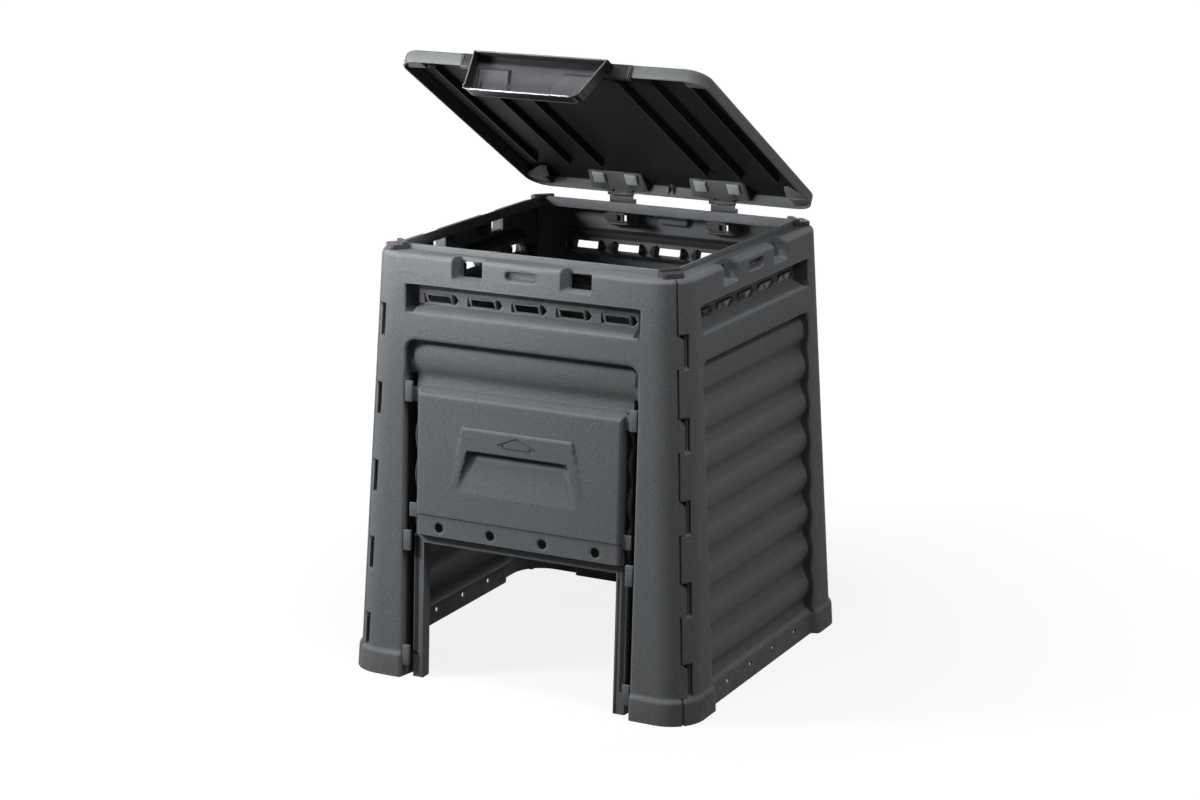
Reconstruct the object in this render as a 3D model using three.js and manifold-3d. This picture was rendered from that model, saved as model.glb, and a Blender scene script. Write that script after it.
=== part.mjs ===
// Garden compost bin with a hinged lid and a sliding hatch.
// Millimetres, +Z up. Origin at the middle of the base, on the ground. The front is at -Y.
// Every piece is a thin moulded shell. The bin is drawn as photographed: lid open, hatch raised.

import * as THREE from 'three';
import { mergeVertices } from 'three/addons/utils/BufferGeometryUtils.js';
import Module from 'manifold-3d';

const wasm = await Module();
wasm.setup();

// Divisions of each quarter arc: every division gives two facets
const corner_divisions = 4;
const lid_divisions = 4;
const small_divisions = 1;
const oval_divisions = 2;
const round_facets = 10;

// Driving sizes of the body
const skin = 3.5;
const overrun = 20;
const touch_gap = 0.3;
const base_half = 320;
const rim_height = 725;
const rim_half = 285.4;
const corner_radius = 56;
const skirt_height = 44;
const skirt_proud = 5;
const skirt_chamfer = 6;
const shoulder_radius = 8;
const shoulder_facets = 3;
const seam_gap = 0.8;

// Inner rim lip that the lid drops over
const ledge_width = 38.4;
const lip_thickness = 4;
const lip_rise = 9.3;
const lip_drop = 8;
const lip_corner_radius = 8;

// Corner windows and the tabs that reach into them
const window_count = 5;
const window_margin = 88.2;
const window_foot = 44.1;
const window_height = 56;
const window_reach = 35;
const window_depth = 8;
const tab_clearance = 1.2;
const tab_reach = 9;
const tab_chamfer = 7;

// Ventilation strip
const vent_half = 216.5;
const vent_margin = 50;
const vent_height = 47.6;
const vent_depth = 25;
const vent_end_draft = 15;
const vent_side_draft = 4;
const vent_corner_radius = 7;
const vent_slots = 5;
const vent_pitch = 82;
const vent_slot_half = 31;
const vent_slot_height = 19;
const vent_slot_tip = 8;

// Corrugated field
const field_half = 215.5;
const field_margin = 142;
const field_corner_radius = 20;
const field_draft = 7;
const field_top_depth = 16;
const field_foot_depth = 20;
const field_skirt_depth = 9;
const wave_pitch = 66;
const wave_height = 4;
const wave_steps = 6;

// Handle notches through the shoulder, and the blind oval between them
const notch_offset = 100;
const notch_half = 27.5;
const notch_fall = 35;
const notch_depth = 21.4;
const notch_window_half = 20;
const oval_half = 30;
const oval_radius = 8.5;
const oval_drop = 20;
const oval_depth = 9;

// Air holes along the skirt
const skirt_hole_radius = 5;
const skirt_hole_pitch = 93;
const skirt_hole_level = 24;
const skirt_hole_count = 6;

// Hatch opening, its guides and its door
const guide_width = 14.5;
const guide_margin = 60;
const jamb_width = 20.5;
const jamb_head = 13;
const jamb_reveal = 20;
const lug_height = 34;
const lug_lift = 5;
const lug_sink = 3;
const door_headroom = 16.5;
const door_ground_gap = 2;
const door_lap = 19.5;
const door_lift_gap = 15;
const door_side_gap = 6;
const door_clearance = 1;
const door_jamb_gap = 2;
const door_proud = 2;
const door_bevel = 8.5;
const door_top_bevel = 14;
const door_skin = 3;
const door_band = 38;
const door_band_step = 2;
const door_tab_height = 24;
const door_tab_top_inset = 17;
const door_tab_foot_inset = 40;
const door_tab_side_gap = 4.5;
const door_tab_front_gap = 0.6;
const door_tab_thickness = 4;
const door_hole_radius = 8;
const door_hole_pitch = 97.5;
const door_hole_count = 4;
const door_hole_rise = 17;
const brow_margin = 58.5;
const brow_rise = 112;
const brow_band = 38.5;
const brow_top_half = 102.5;
const brow_foot_half = 125.5;
const brow_height = 4;
const scoop_margin = 0.7;
const scoop_top_half = 92.5;
const scoop_foot_half = 122;

// Corner caps
const cap_half = 18.5;
const cap_bevel = 4;
const cap_rise = 7.9;
const cap_outer_inset = 0.4;
const cap_overhang = 3;
const cap_step = 10;
const cap_skin = 2.7;
const cap_lip_clearance = 0.6;

// Lid, drawn closed and then lifted and tilted
const lid_side_inset = 5.7;
const lid_front_inset = 3.4;
const lid_corner_radius = 38;
const lid_height = 26;
const lid_edge_radius = 7;
const lid_edge_facets = 3;
const lid_crown = 3;
const lid_crown_inset = 28;
const lid_open_degrees = 30.65;
const lid_rib_offsets = [102, 167, 235];
const lid_rib_depth = 9;
const lid_rib_thickness = 3;
const lid_rib_rear = 88;
const lid_rib_margin = 52;
const lid_seat_reach = 60;
const lid_seat_thickness = 3;
const lid_seat_gap = 0.6;
const lid_rest_gap = 0.6;
const lid_hinge_gap_height = 20;

// Hinges
const pin_inset = 0.2;
const pin_drop = 0.2;
const pin_radius = 2.2;
const pin_clearance = 0.2;
const pin_overhang = 0.5;
const barrel_radius = 5;
const strap_barrel_half = 13;
const barrel_gap = 0.5;
const barrel_width = 11;
const hinge_gap_clearance = 4.5;
const strap_half = 23;
const strap_plate = 3.5;
const strap_clearance = 4;
const strap_setback = 1;
const strap_tail_reach = 21;
const strap_flange = 11.5;
const strap_slide = 15;
const strap_tail_half = 13;
const strap_tail_thickness = 3;
const strap_hook_height = 7;
const strap_neck_drop = 12;
const clip_half = 18;
const clip_height = 17;
const clip_thickness = 5;
const clip_frame = 4.5;
const clip_setback = 0.4;
const block_half = 57;
const block_depth = 45;
const block_slant = 6;
const block_drop = 8;
const block_foot = 6;
const plug_offset = 32;
const plug_half = 12;
const plug_proud = 2.5;
const plug_shank_half = 4;

// Lid handle
const grip_top_half = 121.5;
const grip_foot_half = 105;
const grip_reach = 27;
const grip_level = 16.5;
const grip_foot_reach = 63;
const grip_foot_level = -66;
const grip_skin = 3;
const grip_depth = 25;
const grip_corner_radius = 26;
const grip_foot_lip = 6;
const grip_pad_proud = 4;
const grip_pad_top = -10;
const grip_pad_top_inner = 50;
const grip_pad_foot_inner = 29;
const grip_pad_edge = 7;
const ear_half = 155;
const ear_thickness = 3;
const ear_top = 20;
const ear_clamp_gap = 1.5;
const ear_foot = 3.5;

// Values worked out from the driving sizes
const taper = (base_half - rim_half) / rim_height;
const wallAt = (z) => base_half - taper * z;
const lip_half = rim_half - ledge_width;
const lip_top = rim_height + lip_rise;
const lip_bottom = rim_height - lip_drop;
const window_top = rim_height - window_margin;
const window_pitch = (window_top - window_height - window_foot) / (window_count - 1);
const vent_top = rim_height - vent_margin;
const vent_bottom = vent_top - vent_height;
const vent_slot_level = (vent_top + vent_bottom) / 2;
const field_top = rim_height - field_margin;
const notch_floor = rim_height - notch_fall;
const notch_back = rim_half - notch_depth;
const oval_level = rim_height - oval_drop;
const jamb_half = field_half - guide_width;
const hatch_half = jamb_half - jamb_width;
const guide_top = field_top - guide_margin;
const door_top = guide_top - door_headroom;
const door_height = (door_top - door_ground_gap + door_lap - door_lift_gap) / 2;
const hatch_top = door_ground_gap + door_height - door_lap;
const door_bottom = hatch_top + door_lift_gap;
const door_travel = door_bottom - door_ground_gap;
const door_half = jamb_half - door_side_gap;
const door_back_depth = field_top_depth - wave_height - door_clearance;
const jamb_depth = door_back_depth + door_jamb_gap;
const guide_depth = jamb_depth + jamb_reveal;
const door_tab_half = field_half - field_draft / 2 - door_tab_side_gap;
const door_tab_levels = [door_top - door_tab_top_inset, door_bottom + door_tab_foot_inset];
const lug_half = jamb_half + touch_gap;
const lug_thickness = door_back_depth - door_tab_thickness - door_tab_front_gap;
const lug_levels = [
  door_tab_levels[0] + lug_lift, door_tab_levels[0] - door_travel, door_tab_levels[1] - door_travel - lug_sink,
];
const brow_top = door_top - brow_margin;
const brow_foot = brow_top - brow_rise;
const scoop_top = brow_top - brow_band;
const scoop_depth = door_back_depth + door_proud - door_skin - scoop_margin;
const cap_top = rim_height + cap_rise;
const cap_peak = lip_top + touch_gap + cap_skin;
const cap_outer = (rim_half - corner_radius) * Math.SQRT2 + corner_radius - shoulder_radius - cap_outer_inset;
const cap_inner = (lip_half - lip_corner_radius) * Math.SQRT2 + lip_corner_radius - cap_overhang;
const strap_front = notch_back + strap_clearance;
const strap_tail_end = lip_half - strap_tail_reach;
const barrel_half = strap_barrel_half + barrel_gap + barrel_width;
const barrel_bore = pin_radius + pin_clearance;
const pin_half = barrel_half + pin_overhang;
const lid_hinge_gap_half = barrel_half + hinge_gap_clearance;
const lid_rear = strap_front - strap_setback;
const lid_half_width = rim_half - lid_side_inset;
const lid_half_depth = (lid_rear + rim_half - lid_front_inset) / 2;
const lid_closed_level = cap_top + lid_rest_gap;
const lid_rib_front = lid_half_depth * 2 - lid_rib_margin;
const hinge_offset = notch_offset;
const ear_clamp_top = lid_height - lid_crown - skin - lid_edge_radius - ear_clamp_gap;
const pin_y = lid_rear - pin_inset;
const pin_in_lid = lid_half_depth - pin_inset;
const pin_closed_z = lid_closed_level - pin_drop;
const pin_z = pin_closed_z + strap_slide;
const lid_top = lid_closed_level + lid_height;
const quarter = Math.PI / 2;

// A closed three.js geometry as a solid for joining and cutting
function solid(geometry) {
  const bare = geometry.index ? geometry.toNonIndexed() : geometry.clone();
  bare.deleteAttribute('normal');
  bare.deleteAttribute('uv');
  const merged = mergeVertices(bare, 1e-4);
  return new wasm.Manifold(new wasm.Mesh({
    numProp: 3,
    vertProperties: new Float32Array(merged.attributes.position.array),
    triVerts: new Uint32Array(merged.index.array),
  }));
}

// A solid back as a three.js geometry
function geometryOf(body) {
  const mesh = body.getMesh();
  const geometry = new THREE.BufferGeometry();
  geometry.setAttribute('position', new THREE.BufferAttribute(new Float32Array(mesh.vertProperties), 3));
  geometry.setIndex(new THREE.BufferAttribute(new Uint32Array(mesh.triVerts), 1));
  geometry.computeVertexNormals();
  return geometry;
}

// Moves every point of a geometry by a rule
function reshape(geometry, rule) {
  const position = geometry.attributes.position;
  const point = new THREE.Vector3();
  for (let i = 0; i < position.count; i += 1) {
    point.fromBufferAttribute(position, i);
    rule(point);
    position.setXYZ(i, point.x, point.y, point.z);
  }
  return geometry;
}

const joined = (parts) => parts.reduce((whole, part) => whole.add(part));
const cutBy = (body, cuts) => cuts.reduce((rest, cut) => rest.subtract(cut), body);

function block(x0, x1, y0, y1, z0, z1) {
  const geometry = new THREE.BoxGeometry(x1 - x0, y1 - y0, z1 - z0);
  return geometry.translate((x0 + x1) / 2, (y0 + y1) / 2, (z0 + z1) / 2);
}

function outline(points) {
  const shape = new THREE.Shape();
  points.forEach(([a, b], i) => (i ? shape.lineTo(a, b) : shape.moveTo(a, b)));
  shape.closePath();
  return shape;
}

// A rectangle with its own radius at the top and the bottom corners
function roundedShape(a0, a1, b0, b1, topRadius, footRadius = topRadius) {
  const shape = new THREE.Shape();
  shape.moveTo(a0 + footRadius, b0);
  shape.lineTo(a1 - footRadius, b0);
  if (footRadius > 0) shape.absarc(a1 - footRadius, b0 + footRadius, footRadius, -quarter, 0, false);
  shape.lineTo(a1, b1 - topRadius);
  if (topRadius > 0) shape.absarc(a1 - topRadius, b1 - topRadius, topRadius, 0, quarter, false);
  shape.lineTo(a0 + topRadius, b1);
  if (topRadius > 0) shape.absarc(a0 + topRadius, b1 - topRadius, topRadius, quarter, 2 * quarter, false);
  shape.lineTo(a0, b0 + footRadius);
  if (footRadius > 0) shape.absarc(a0 + footRadius, b0 + footRadius, footRadius, 2 * quarter, 3 * quarter, false);
  return shape;
}

const prism = (shape, length, divisions) =>
  new THREE.ExtrudeGeometry(shape, { depth: length, bevelEnabled: false, curveSegments: divisions });

// Shapes drawn in (x, y), (y, z) or (x, z) and carried along the third axis
const uprightPrism = (shape, z0, z1) => prism(shape, z1 - z0, small_divisions).translate(0, 0, z0);
const acrossPrism = (shape, x0, x1) =>
  reshape(prism(shape, x1 - x0, small_divisions), (p) => p.set(p.z + x0, p.x, p.y));
const inwardPrism = (shape, y0, y1, divisions = small_divisions) =>
  reshape(prism(shape, y1 - y0, divisions), (p) => p.set(p.x, y1 - p.z, p.y));

// Features of the front wall are drawn upright against the plane y = -base_half and lean with the wall
const leaned = (geometry) => reshape(geometry, (p) => { p.y += taper * p.z; });
const wall = -base_half;

// Rounded-square rings stacked from the ground up, each with its half width and corner radius
function stacked(levels, stretch = 0, divisions = corner_divisions) {
  const rings = levels.map(({ z, half, radius }) => {
    const shape = roundedShape(-half, half, -half - stretch, half + stretch, radius);
    return shape.getPoints(divisions).map((p) => new THREE.Vector3(p.x, p.y, z));
  });
  const count = rings[0].length - (rings[0][0].equals(rings[0][rings[0].length - 1]) ? 1 : 0);
  const points = rings.flatMap((ring) => ring.slice(0, count));
  const faces = [];
  for (let r = 0; r + 1 < rings.length; r += 1) {
    for (let i = 0; i < count; i += 1) {
      const a = r * count + i;
      const b = r * count + (i + 1) % count;
      faces.push(a, b, b + count, a, b + count, a + count);
    }
  }
  const last = (rings.length - 1) * count;
  for (let i = 1; i + 1 < count; i += 1) {
    faces.push(0, i + 1, i);
    faces.push(last, last + i, last + i + 1);
  }
  const geometry = new THREE.BufferGeometry().setFromPoints(points);
  geometry.setIndex(faces);
  return geometry;
}

// The body's envelope, moved out by a given amount, with its skirt, its taper and its rounded shoulder
function envelope(out, foot) {
  const ring = (z, extra) => ({ z, half: wallAt(z) + out + extra, radius: corner_radius + out + extra });
  const levels = [ring(foot, skirt_proud)];
  levels.push(ring(skirt_height - skirt_chamfer, skirt_proud));
  levels.push(ring(skirt_height, 0));
  const turn = rim_height - shoulder_radius;
  for (let i = 0; i <= shoulder_facets; i += 1) {
    const angle = (quarter * i) / shoulder_facets;
    const radius = shoulder_radius + out;
    const inset = -(radius) * (1 - Math.cos(angle));
    levels.push(ring(turn + radius * Math.sin(angle), inset));
  }
  return stacked(levels);
}

// A pocket in the front wall whose sides close in with depth
function pocket({ half, bottom, top, depth, radius, footRadius, draft, rise }, grow = 0) {
  const shape = roundedShape(-half - grow, half + grow, bottom - grow, top + grow, radius, footRadius);
  const middle = (bottom + top) / 2;
  const geometry = inwardPrism(shape, wall - overrun, wall + depth + grow);
  return leaned(reshape(geometry, (p) => {
    const share = (p.y - wall) / depth;
    p.x *= 1 - (draft / half) * share;
    p.z -= (rise / (top - middle)) * (p.z - middle) * share;
  }));
}

const ventPocket = (grow) => pocket({
  half: vent_half, bottom: vent_bottom, top: vent_top, depth: vent_depth, radius: vent_corner_radius,
  footRadius: vent_corner_radius, draft: vent_end_draft, rise: vent_side_draft,
}, grow);

// Depth of the corrugated field behind the wall plane at a height
function fieldDepth(z) {
  const share = (field_top - z) / (field_top - skirt_height);
  const mean = field_top_depth + (field_foot_depth - field_top_depth) * share;
  return mean + wave_height * Math.cos((2 * Math.PI * (field_top - z)) / wave_pitch);
}

function fieldProfile(extra) {
  const points = [[wall - overrun, -overrun], [wall + field_skirt_depth + extra, -overrun]];
  points.push([wall + field_skirt_depth + extra, skirt_height - skirt_chamfer]);
  const step = wave_pitch / wave_steps;
  const count = Math.ceil((field_top + overrun - skirt_height) / step);
  for (let i = 0; i <= count; i += 1) {
    const z = skirt_height + step * i;
    points.push([wall + fieldDepth(Math.min(z, field_top + overrun)) + extra, z]);
  }
  points.push([wall - overrun, skirt_height + step * count]);
  return outline(points);
}

// The corrugated field: a wavy slab trimmed to a pocket with drafted borders
function fieldCut(grow) {
  const depth = field_foot_depth + wave_height;
  const border = pocket({
    half: field_half, bottom: -overrun * 2, top: field_top, depth: depth * 2, radius: field_corner_radius,
    footRadius: 0, draft: field_draft * 2, rise: 0,
  }, grow);
  const waves = leaned(acrossPrism(fieldProfile(grow), -base_half, base_half));
  return solid(border).intersect(solid(waves));
}

function ventSlots() {
  const shape = (middle) => outline([
    [middle - vent_slot_half, vent_slot_level],
    [middle - vent_slot_half + vent_slot_tip, vent_slot_level - vent_slot_height / 2],
    [middle + vent_slot_half - vent_slot_tip, vent_slot_level - vent_slot_height / 2],
    [middle + vent_slot_half, vent_slot_level],
    [middle + vent_slot_half - vent_slot_tip, vent_slot_level + vent_slot_height / 2],
    [middle - vent_slot_half + vent_slot_tip, vent_slot_level + vent_slot_height / 2],
  ]);
  const slots = [];
  for (let i = 0; i < vent_slots; i += 1) {
    const middle = (i - (vent_slots - 1) / 2) * vent_pitch;
    slots.push(solid(leaned(inwardPrism(shape(middle), wall, wall + vent_depth + overrun))));
  }
  return slots;
}

function notch(middle, grow) {
  const half = notch_half + grow;
  const back = -notch_back + grow;
  return block(
    middle - half, middle + half, -rim_half - overrun, back, notch_floor - grow, rim_height + overrun,
  );
}

function oval(grow) {
  const shape = roundedShape(
    -oval_half - grow, oval_half + grow, oval_level - oval_radius - grow, oval_level + oval_radius + grow,
    oval_radius + grow,
  );
  return leaned(inwardPrism(shape, wall - overrun, wall + oval_depth + grow, oval_divisions));
}

// Plan of one corner window, from the named reach inwards to past the seam
function windowPlan(reach, depth, past) {
  const rise = (x) => corner_radius - Math.sqrt(corner_radius ** 2 - (corner_radius - x) ** 2);
  const seam = corner_radius * (1 - Math.SQRT1_2);
  const far = new THREE.Vector2(reach, rise(reach));
  const near = new THREE.Vector2(seam, seam);
  const along = near.clone().sub(far).normalize();
  const inward = new THREE.Vector2(along.y, -along.x);
  const at = (point, run, sink) => {
    const place = point.clone().addScaledVector(along, run).addScaledVector(inward, sink);
    return [wall + place.x, wall + place.y];
  };
  return outline([
    at(far, 0, -overrun), at(far, 0, depth), at(near, past, depth), at(near, past, -overrun),
  ]);
}

const windowTops = Array.from({ length: window_count }, (_, i) => window_top - i * window_pitch);
const cornerLean = (geometry) => reshape(geometry, (p) => {
  p.x += taper * p.z;
  p.y += taper * p.z;
});

function windows(grow) {
  const plan = windowPlan(window_reach + grow, window_depth + grow, overrun);
  return windowTops.map((top) => solid(cornerLean(
    uprightPrism(plan, top - window_height - grow, top + grow),
  )));
}

// Tabs on the other edge, which lie flush in the next panel's windows
function tabZones() {
  const seam = corner_radius * (1 - Math.SQRT1_2);
  return windowTops.map((top) => {
    const high = top - tab_clearance;
    const low = top - window_height + tab_clearance;
    const from = wall + seam;
    const profile = outline([
      [from - overrun, low], [from + tab_reach, low], [from + tab_reach, high - tab_chamfer],
      [from + tab_reach - tab_chamfer, high], [from - overrun, high],
    ]);
    const side = acrossPrism(profile, -wall - seam - overrun, -wall + overrun);
    return solid(reshape(side, (p) => {
      p.x -= taper * p.z;
      p.y += taper * p.z;
    }));
  });
}

function skirtHoles() {
  const holes = [];
  for (let i = 0; i < skirt_hole_count; i += 1) {
    const x = (i - (skirt_hole_count - 1) / 2) * skirt_hole_pitch;
    const hole = new THREE.CylinderGeometry(skirt_hole_radius, skirt_hole_radius, base_half / 4, round_facets);
    holes.push(solid(hole.translate(x, wall, skirt_hole_level)));
  }
  return holes;
}

// The quarter of the body that one panel fills, less half of the seam gap
function quarterZone() {
  const reach = base_half * 2;
  const shift = -seam_gap * Math.SQRT1_2;
  const plan = outline([[0, shift], [-reach, shift - reach], [reach, shift - reach]]);
  return solid(uprightPrism(plan, -overrun, rim_height + base_half));
}

function wallShell() {
  const pockets = (grow) => {
    const cuts = [solid(ventPocket(grow)), fieldCut(grow), solid(oval(grow))];
    cuts.push(solid(notch(-notch_offset, grow)), solid(notch(notch_offset, grow)));
    return cuts.concat(windows(grow));
  };
  const outer = cutBy(solid(envelope(0, 0)), pockets(0));
  const inner = cutBy(solid(envelope(-skin, -overrun)), pockets(skin));
  return outer.subtract(inner);
}

const lipRing = (half, low, high) => stacked([
  { z: low, half, radius: lip_corner_radius + half - lip_half },
  { z: high, half, radius: lip_corner_radius + half - lip_half },
]);

// One side panel: shell, rim lip, through cuts and the tabs over the seam
function panelBody() {
  const shell = wallShell();
  const mouth = solid(lipRing(lip_half, lip_bottom - overrun, lip_top + overrun));
  const lip = solid(lipRing(lip_half + lip_thickness, lip_bottom, lip_top)).subtract(mouth);
  const notchWindows = [-notch_offset, notch_offset].map((x) => solid(
    block(
      x - notch_window_half, x + notch_window_half, -notch_back - overrun / 2, -lip_half + overrun / 2,
      notch_floor, lip_bottom,
    ),
  ));
  const cuts = [mouth].concat(ventSlots(), notchWindows, skirtHoles());
  const whole = cutBy(shell, cuts).add(lip);
  return whole.intersect(joined([quarterZone()].concat(tabZones())));
}

// Cuts and ribs that make the front panel out of a side panel
function frontBody(side) {
  const guide = (edge, grow) => {
    const x0 = edge * (jamb_half - grow);
    const x1 = edge * (field_half - field_draft / 2 + grow);
    const y1 = wall + guide_depth + grow;
    return leaned(block(Math.min(x0, x1), Math.max(x0, x1), wall, y1, -overrun, guide_top + grow));
  };
  const jamb = leaned(block(
    -jamb_half - skin, jamb_half + skin, wall + jamb_depth, wall + jamb_depth + skin, 0, hatch_top + jamb_head,
  ));
  const reveal = leaned(block(
    -hatch_half - skin, hatch_half + skin, wall + jamb_depth, wall + jamb_depth + jamb_reveal, 0,
    hatch_top + skin,
  ));
  const field = leaned(block(
    -jamb_half - skin, jamb_half + skin, wall - overrun, wall + guide_depth + overrun, -overrun,
    hatch_top + jamb_head,
  ));
  const opening = leaned(block(
    -hatch_half, hatch_half, wall - overrun, wall + guide_depth + overrun * 2, -overrun, hatch_top,
  ));
  const clear = solid(leaned(block(
    -jamb_half, jamb_half, wall - overrun, wall + jamb_depth, -overrun, guide_top + overrun,
  )));
  const linings = [-1, 1].map((edge) => solid(guide(edge, skin)).subtract(clear));
  const guides = [-1, 1].map((edge) => solid(guide(edge, 0)));
  const ground = solid(block(-base_half, base_half, -base_half * 2, 0, -base_half, 0));
  const lining = joined(linings).subtract(ground);
  const lugs = [-1, 1].flatMap((edge) => lug_levels.map((level) => {
    const x0 = edge * lug_half;
    const x1 = edge * (field_half + skin);
    return solid(leaned(block(
      Math.min(x0, x1), Math.max(x0, x1), wall, wall + lug_thickness, level - lug_height / 2, level + lug_height / 2,
    )));
  }));
  const framed = cutBy(side, [solid(field)]).add(solid(jamb)).add(solid(reveal)).add(lining);
  return cutBy(framed, guides.concat([solid(opening)])).add(joined(lugs));
}

// Door that slides in front of the corrugated field. It leans with the wall.
function doorBody() {
  const face = wall - door_proud;
  const back = wall + door_back_depth;
  const depth = back - face;
  const top = door_bottom + door_height;
  const tray = (grow) => {
    const half = door_half - grow;
    const shape = roundedShape(-half, half, door_bottom + grow, top - grow, 0);
    const geometry = inwardPrism(shape, face + grow, back + (grow > 0 ? overrun : 0));
    return leaned(reshape(geometry, (p) => {
      const share = Math.max(0, (back - p.y) / depth);
      p.x -= Math.sign(p.x) * door_bevel * share;
      if (p.z > (door_bottom + top) / 2) p.z -= door_top_bevel * share;
    }));
  };
  const shell = solid(tray(0)).subtract(solid(tray(door_skin)));
  const band = solid(leaned(block(
    -base_half, base_half, face - overrun, face + door_band_step, door_bottom - overrun, door_bottom + door_band,
  )));
  const brow = browSolid(face, 0);
  const scoopOuter = scoopSolid(face, 0);
  const scoopInner = scoopSolid(face, door_skin);
  const holes = [];
  for (let i = 0; i < door_hole_count; i += 1) {
    const x = (i - (door_hole_count - 1) / 2) * door_hole_pitch;
    const hole = new THREE.CylinderGeometry(door_hole_radius, door_hole_radius, overrun * 2, round_facets);
    holes.push(solid(leaned(hole.translate(x, face, door_bottom + door_hole_rise))));
  }
  const tabs = [-1, 1].flatMap((edge) => door_tab_levels.map((level) => {
    const x0 = edge * (door_half - door_skin);
    const x1 = edge * door_tab_half;
    return solid(leaned(block(
      Math.min(x0, x1), Math.max(x0, x1), back - door_tab_thickness, back,
      level - door_tab_height / 2, level + door_tab_height / 2,
    )));
  }));
  const dished = shell.add(brow).add(scoopInner).subtract(scoopOuter).subtract(band);
  return cutBy(dished, holes).add(joined(tabs));
}

// Raised arch over the scoop: flush with the face at its foot and proud at its top
function browSolid(face, grow) {
  const plan = outline([
    [-brow_foot_half, brow_foot], [brow_foot_half, brow_foot], [brow_top_half, brow_top], [-brow_top_half, brow_top],
  ]);
  const slab = inwardPrism(plan, face - grow, face + door_skin);
  return solid(leaned(reshape(slab, (p) => {
    if (p.y < face + door_skin / 2) p.y -= (brow_height * (p.z - brow_foot)) / (brow_top - brow_foot);
  })));
}

// Hollow under the arch: deepest under its upper edge, and running out to the face at its foot
function scoopSolid(face, grow) {
  const low = brow_foot - grow;
  const high = scoop_top + grow;
  const plan = outline([
    [-scoop_foot_half - grow, low], [scoop_foot_half + grow, low],
    [scoop_top_half + grow, high], [-scoop_top_half - grow, high],
  ]);
  const front = grow > 0 ? face + door_skin / 2 : face - overrun;
  const slab = inwardPrism(plan, front, face + door_skin + grow);
  return solid(leaned(reshape(slab, (p) => {
    if (p.y > face + door_skin / 2 + grow / 2) {
      const share = Math.min(1, Math.max(0, (p.z - brow_foot) / (scoop_top - brow_foot)));
      p.y = face + grow + scoop_depth * share + touch_gap;
    }
  })));
}

// Plan of a block across a corner's diagonal, between two distances from the middle of the bin
function diagonalPlan(near, far, half, bevel) {
  const at = (out, across) => [(out - across) / Math.SQRT2, (out + across) / Math.SQRT2];
  return outline([
    at(near, -half), at(far - bevel, -half), at(far, bevel - half),
    at(far, half - bevel), at(far - bevel, half), at(near, half),
  ]);
}

// Cap over one rim corner, drawn for the corner at +X +Y: a block across the mitre, stepped up over the lip
function capBody() {
  const foot = rim_height - overrun;
  const plan = diagonalPlan(cap_inner, cap_outer, cap_half, cap_bevel);
  const step_plan = diagonalPlan(cap_inner, cap_inner + cap_step, cap_half, cap_bevel / 2);
  const main = solid(uprightPrism(plan, foot, cap_top));
  const step = solid(uprightPrism(step_plan, foot, cap_peak));
  const lower = solid(envelope(touch_gap, 0));
  const reach = lip_half + lip_thickness + cap_lip_clearance;
  const lip = solid(lipRing(reach, lip_bottom - overrun, lip_top + touch_gap));
  return main.add(step).subtract(lower).subtract(lip);
}

// Lid shell in its closed place
function lidEnvelope(out) {
  const stretch = lid_half_depth - lid_half_width;
  const ring = (z, inset) => ({
    z, half: lid_half_width + out - inset, radius: lid_corner_radius + out - inset,
  });
  const levels = [ring(out < 0 ? lid_closed_level - overrun : lid_closed_level, 0)];
  for (let i = 0; i <= lid_edge_facets; i += 1) {
    const angle = (quarter * i) / lid_edge_facets;
    const z = lid_top - lid_crown + out - lid_edge_radius * (1 - Math.sin(angle));
    levels.push(ring(z, lid_edge_radius * (1 - Math.cos(angle))));
  }
  levels.push(ring(lid_top + out, lid_crown_inset));
  return solid(stacked(levels, stretch, lid_divisions));
}

const lidSeatPlan = (sx, sy) => {
  const x = sx * lid_half_width;
  const y = sy * lid_half_depth;
  const points = [[x, y], [x - sx * lid_seat_reach, y], [x, y - sy * lid_seat_reach]];
  return outline(sx * sy > 0 ? points : points.reverse());
};

function lidBody() {
  const outer = lidEnvelope(0);
  const inner = lidEnvelope(-skin);
  const ribs = lid_rib_offsets.flatMap((x) => [-x, x]).map((x) => solid(block(
    x - lid_rib_thickness / 2, x + lid_rib_thickness / 2, lid_half_depth - lid_rib_front,
    lid_half_depth - lid_rib_rear, lid_top - lid_crown - skin - lid_rib_depth, lid_top,
  )));
  const seats = [-1, 1].flatMap((sx) => [-1, 1].map((sy) => solid(
    uprightPrism(lidSeatPlan(sx, sy), cap_peak + lid_seat_gap, cap_peak + lid_seat_gap + lid_seat_thickness),
  )));
  const inside = joined(ribs.concat(seats)).intersect(outer);
  const gaps = [-hinge_offset, hinge_offset].map((x) => solid(block(
    x - lid_hinge_gap_half, x + lid_hinge_gap_half, lid_half_depth - skin * 2, lid_half_depth + overrun,
    lid_closed_level - overrun, lid_closed_level + lid_hinge_gap_height,
  )));
  return cutBy(outer.subtract(inner).add(inside), gaps);
}

// Round bar or bore along X
function bar(radius, x0, x1, y, z) {
  const geometry = new THREE.CylinderGeometry(radius, radius, x1 - x0, round_facets);
  return solid(geometry.rotateZ(quarter).translate((x0 + x1) / 2, y, z));
}

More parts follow.
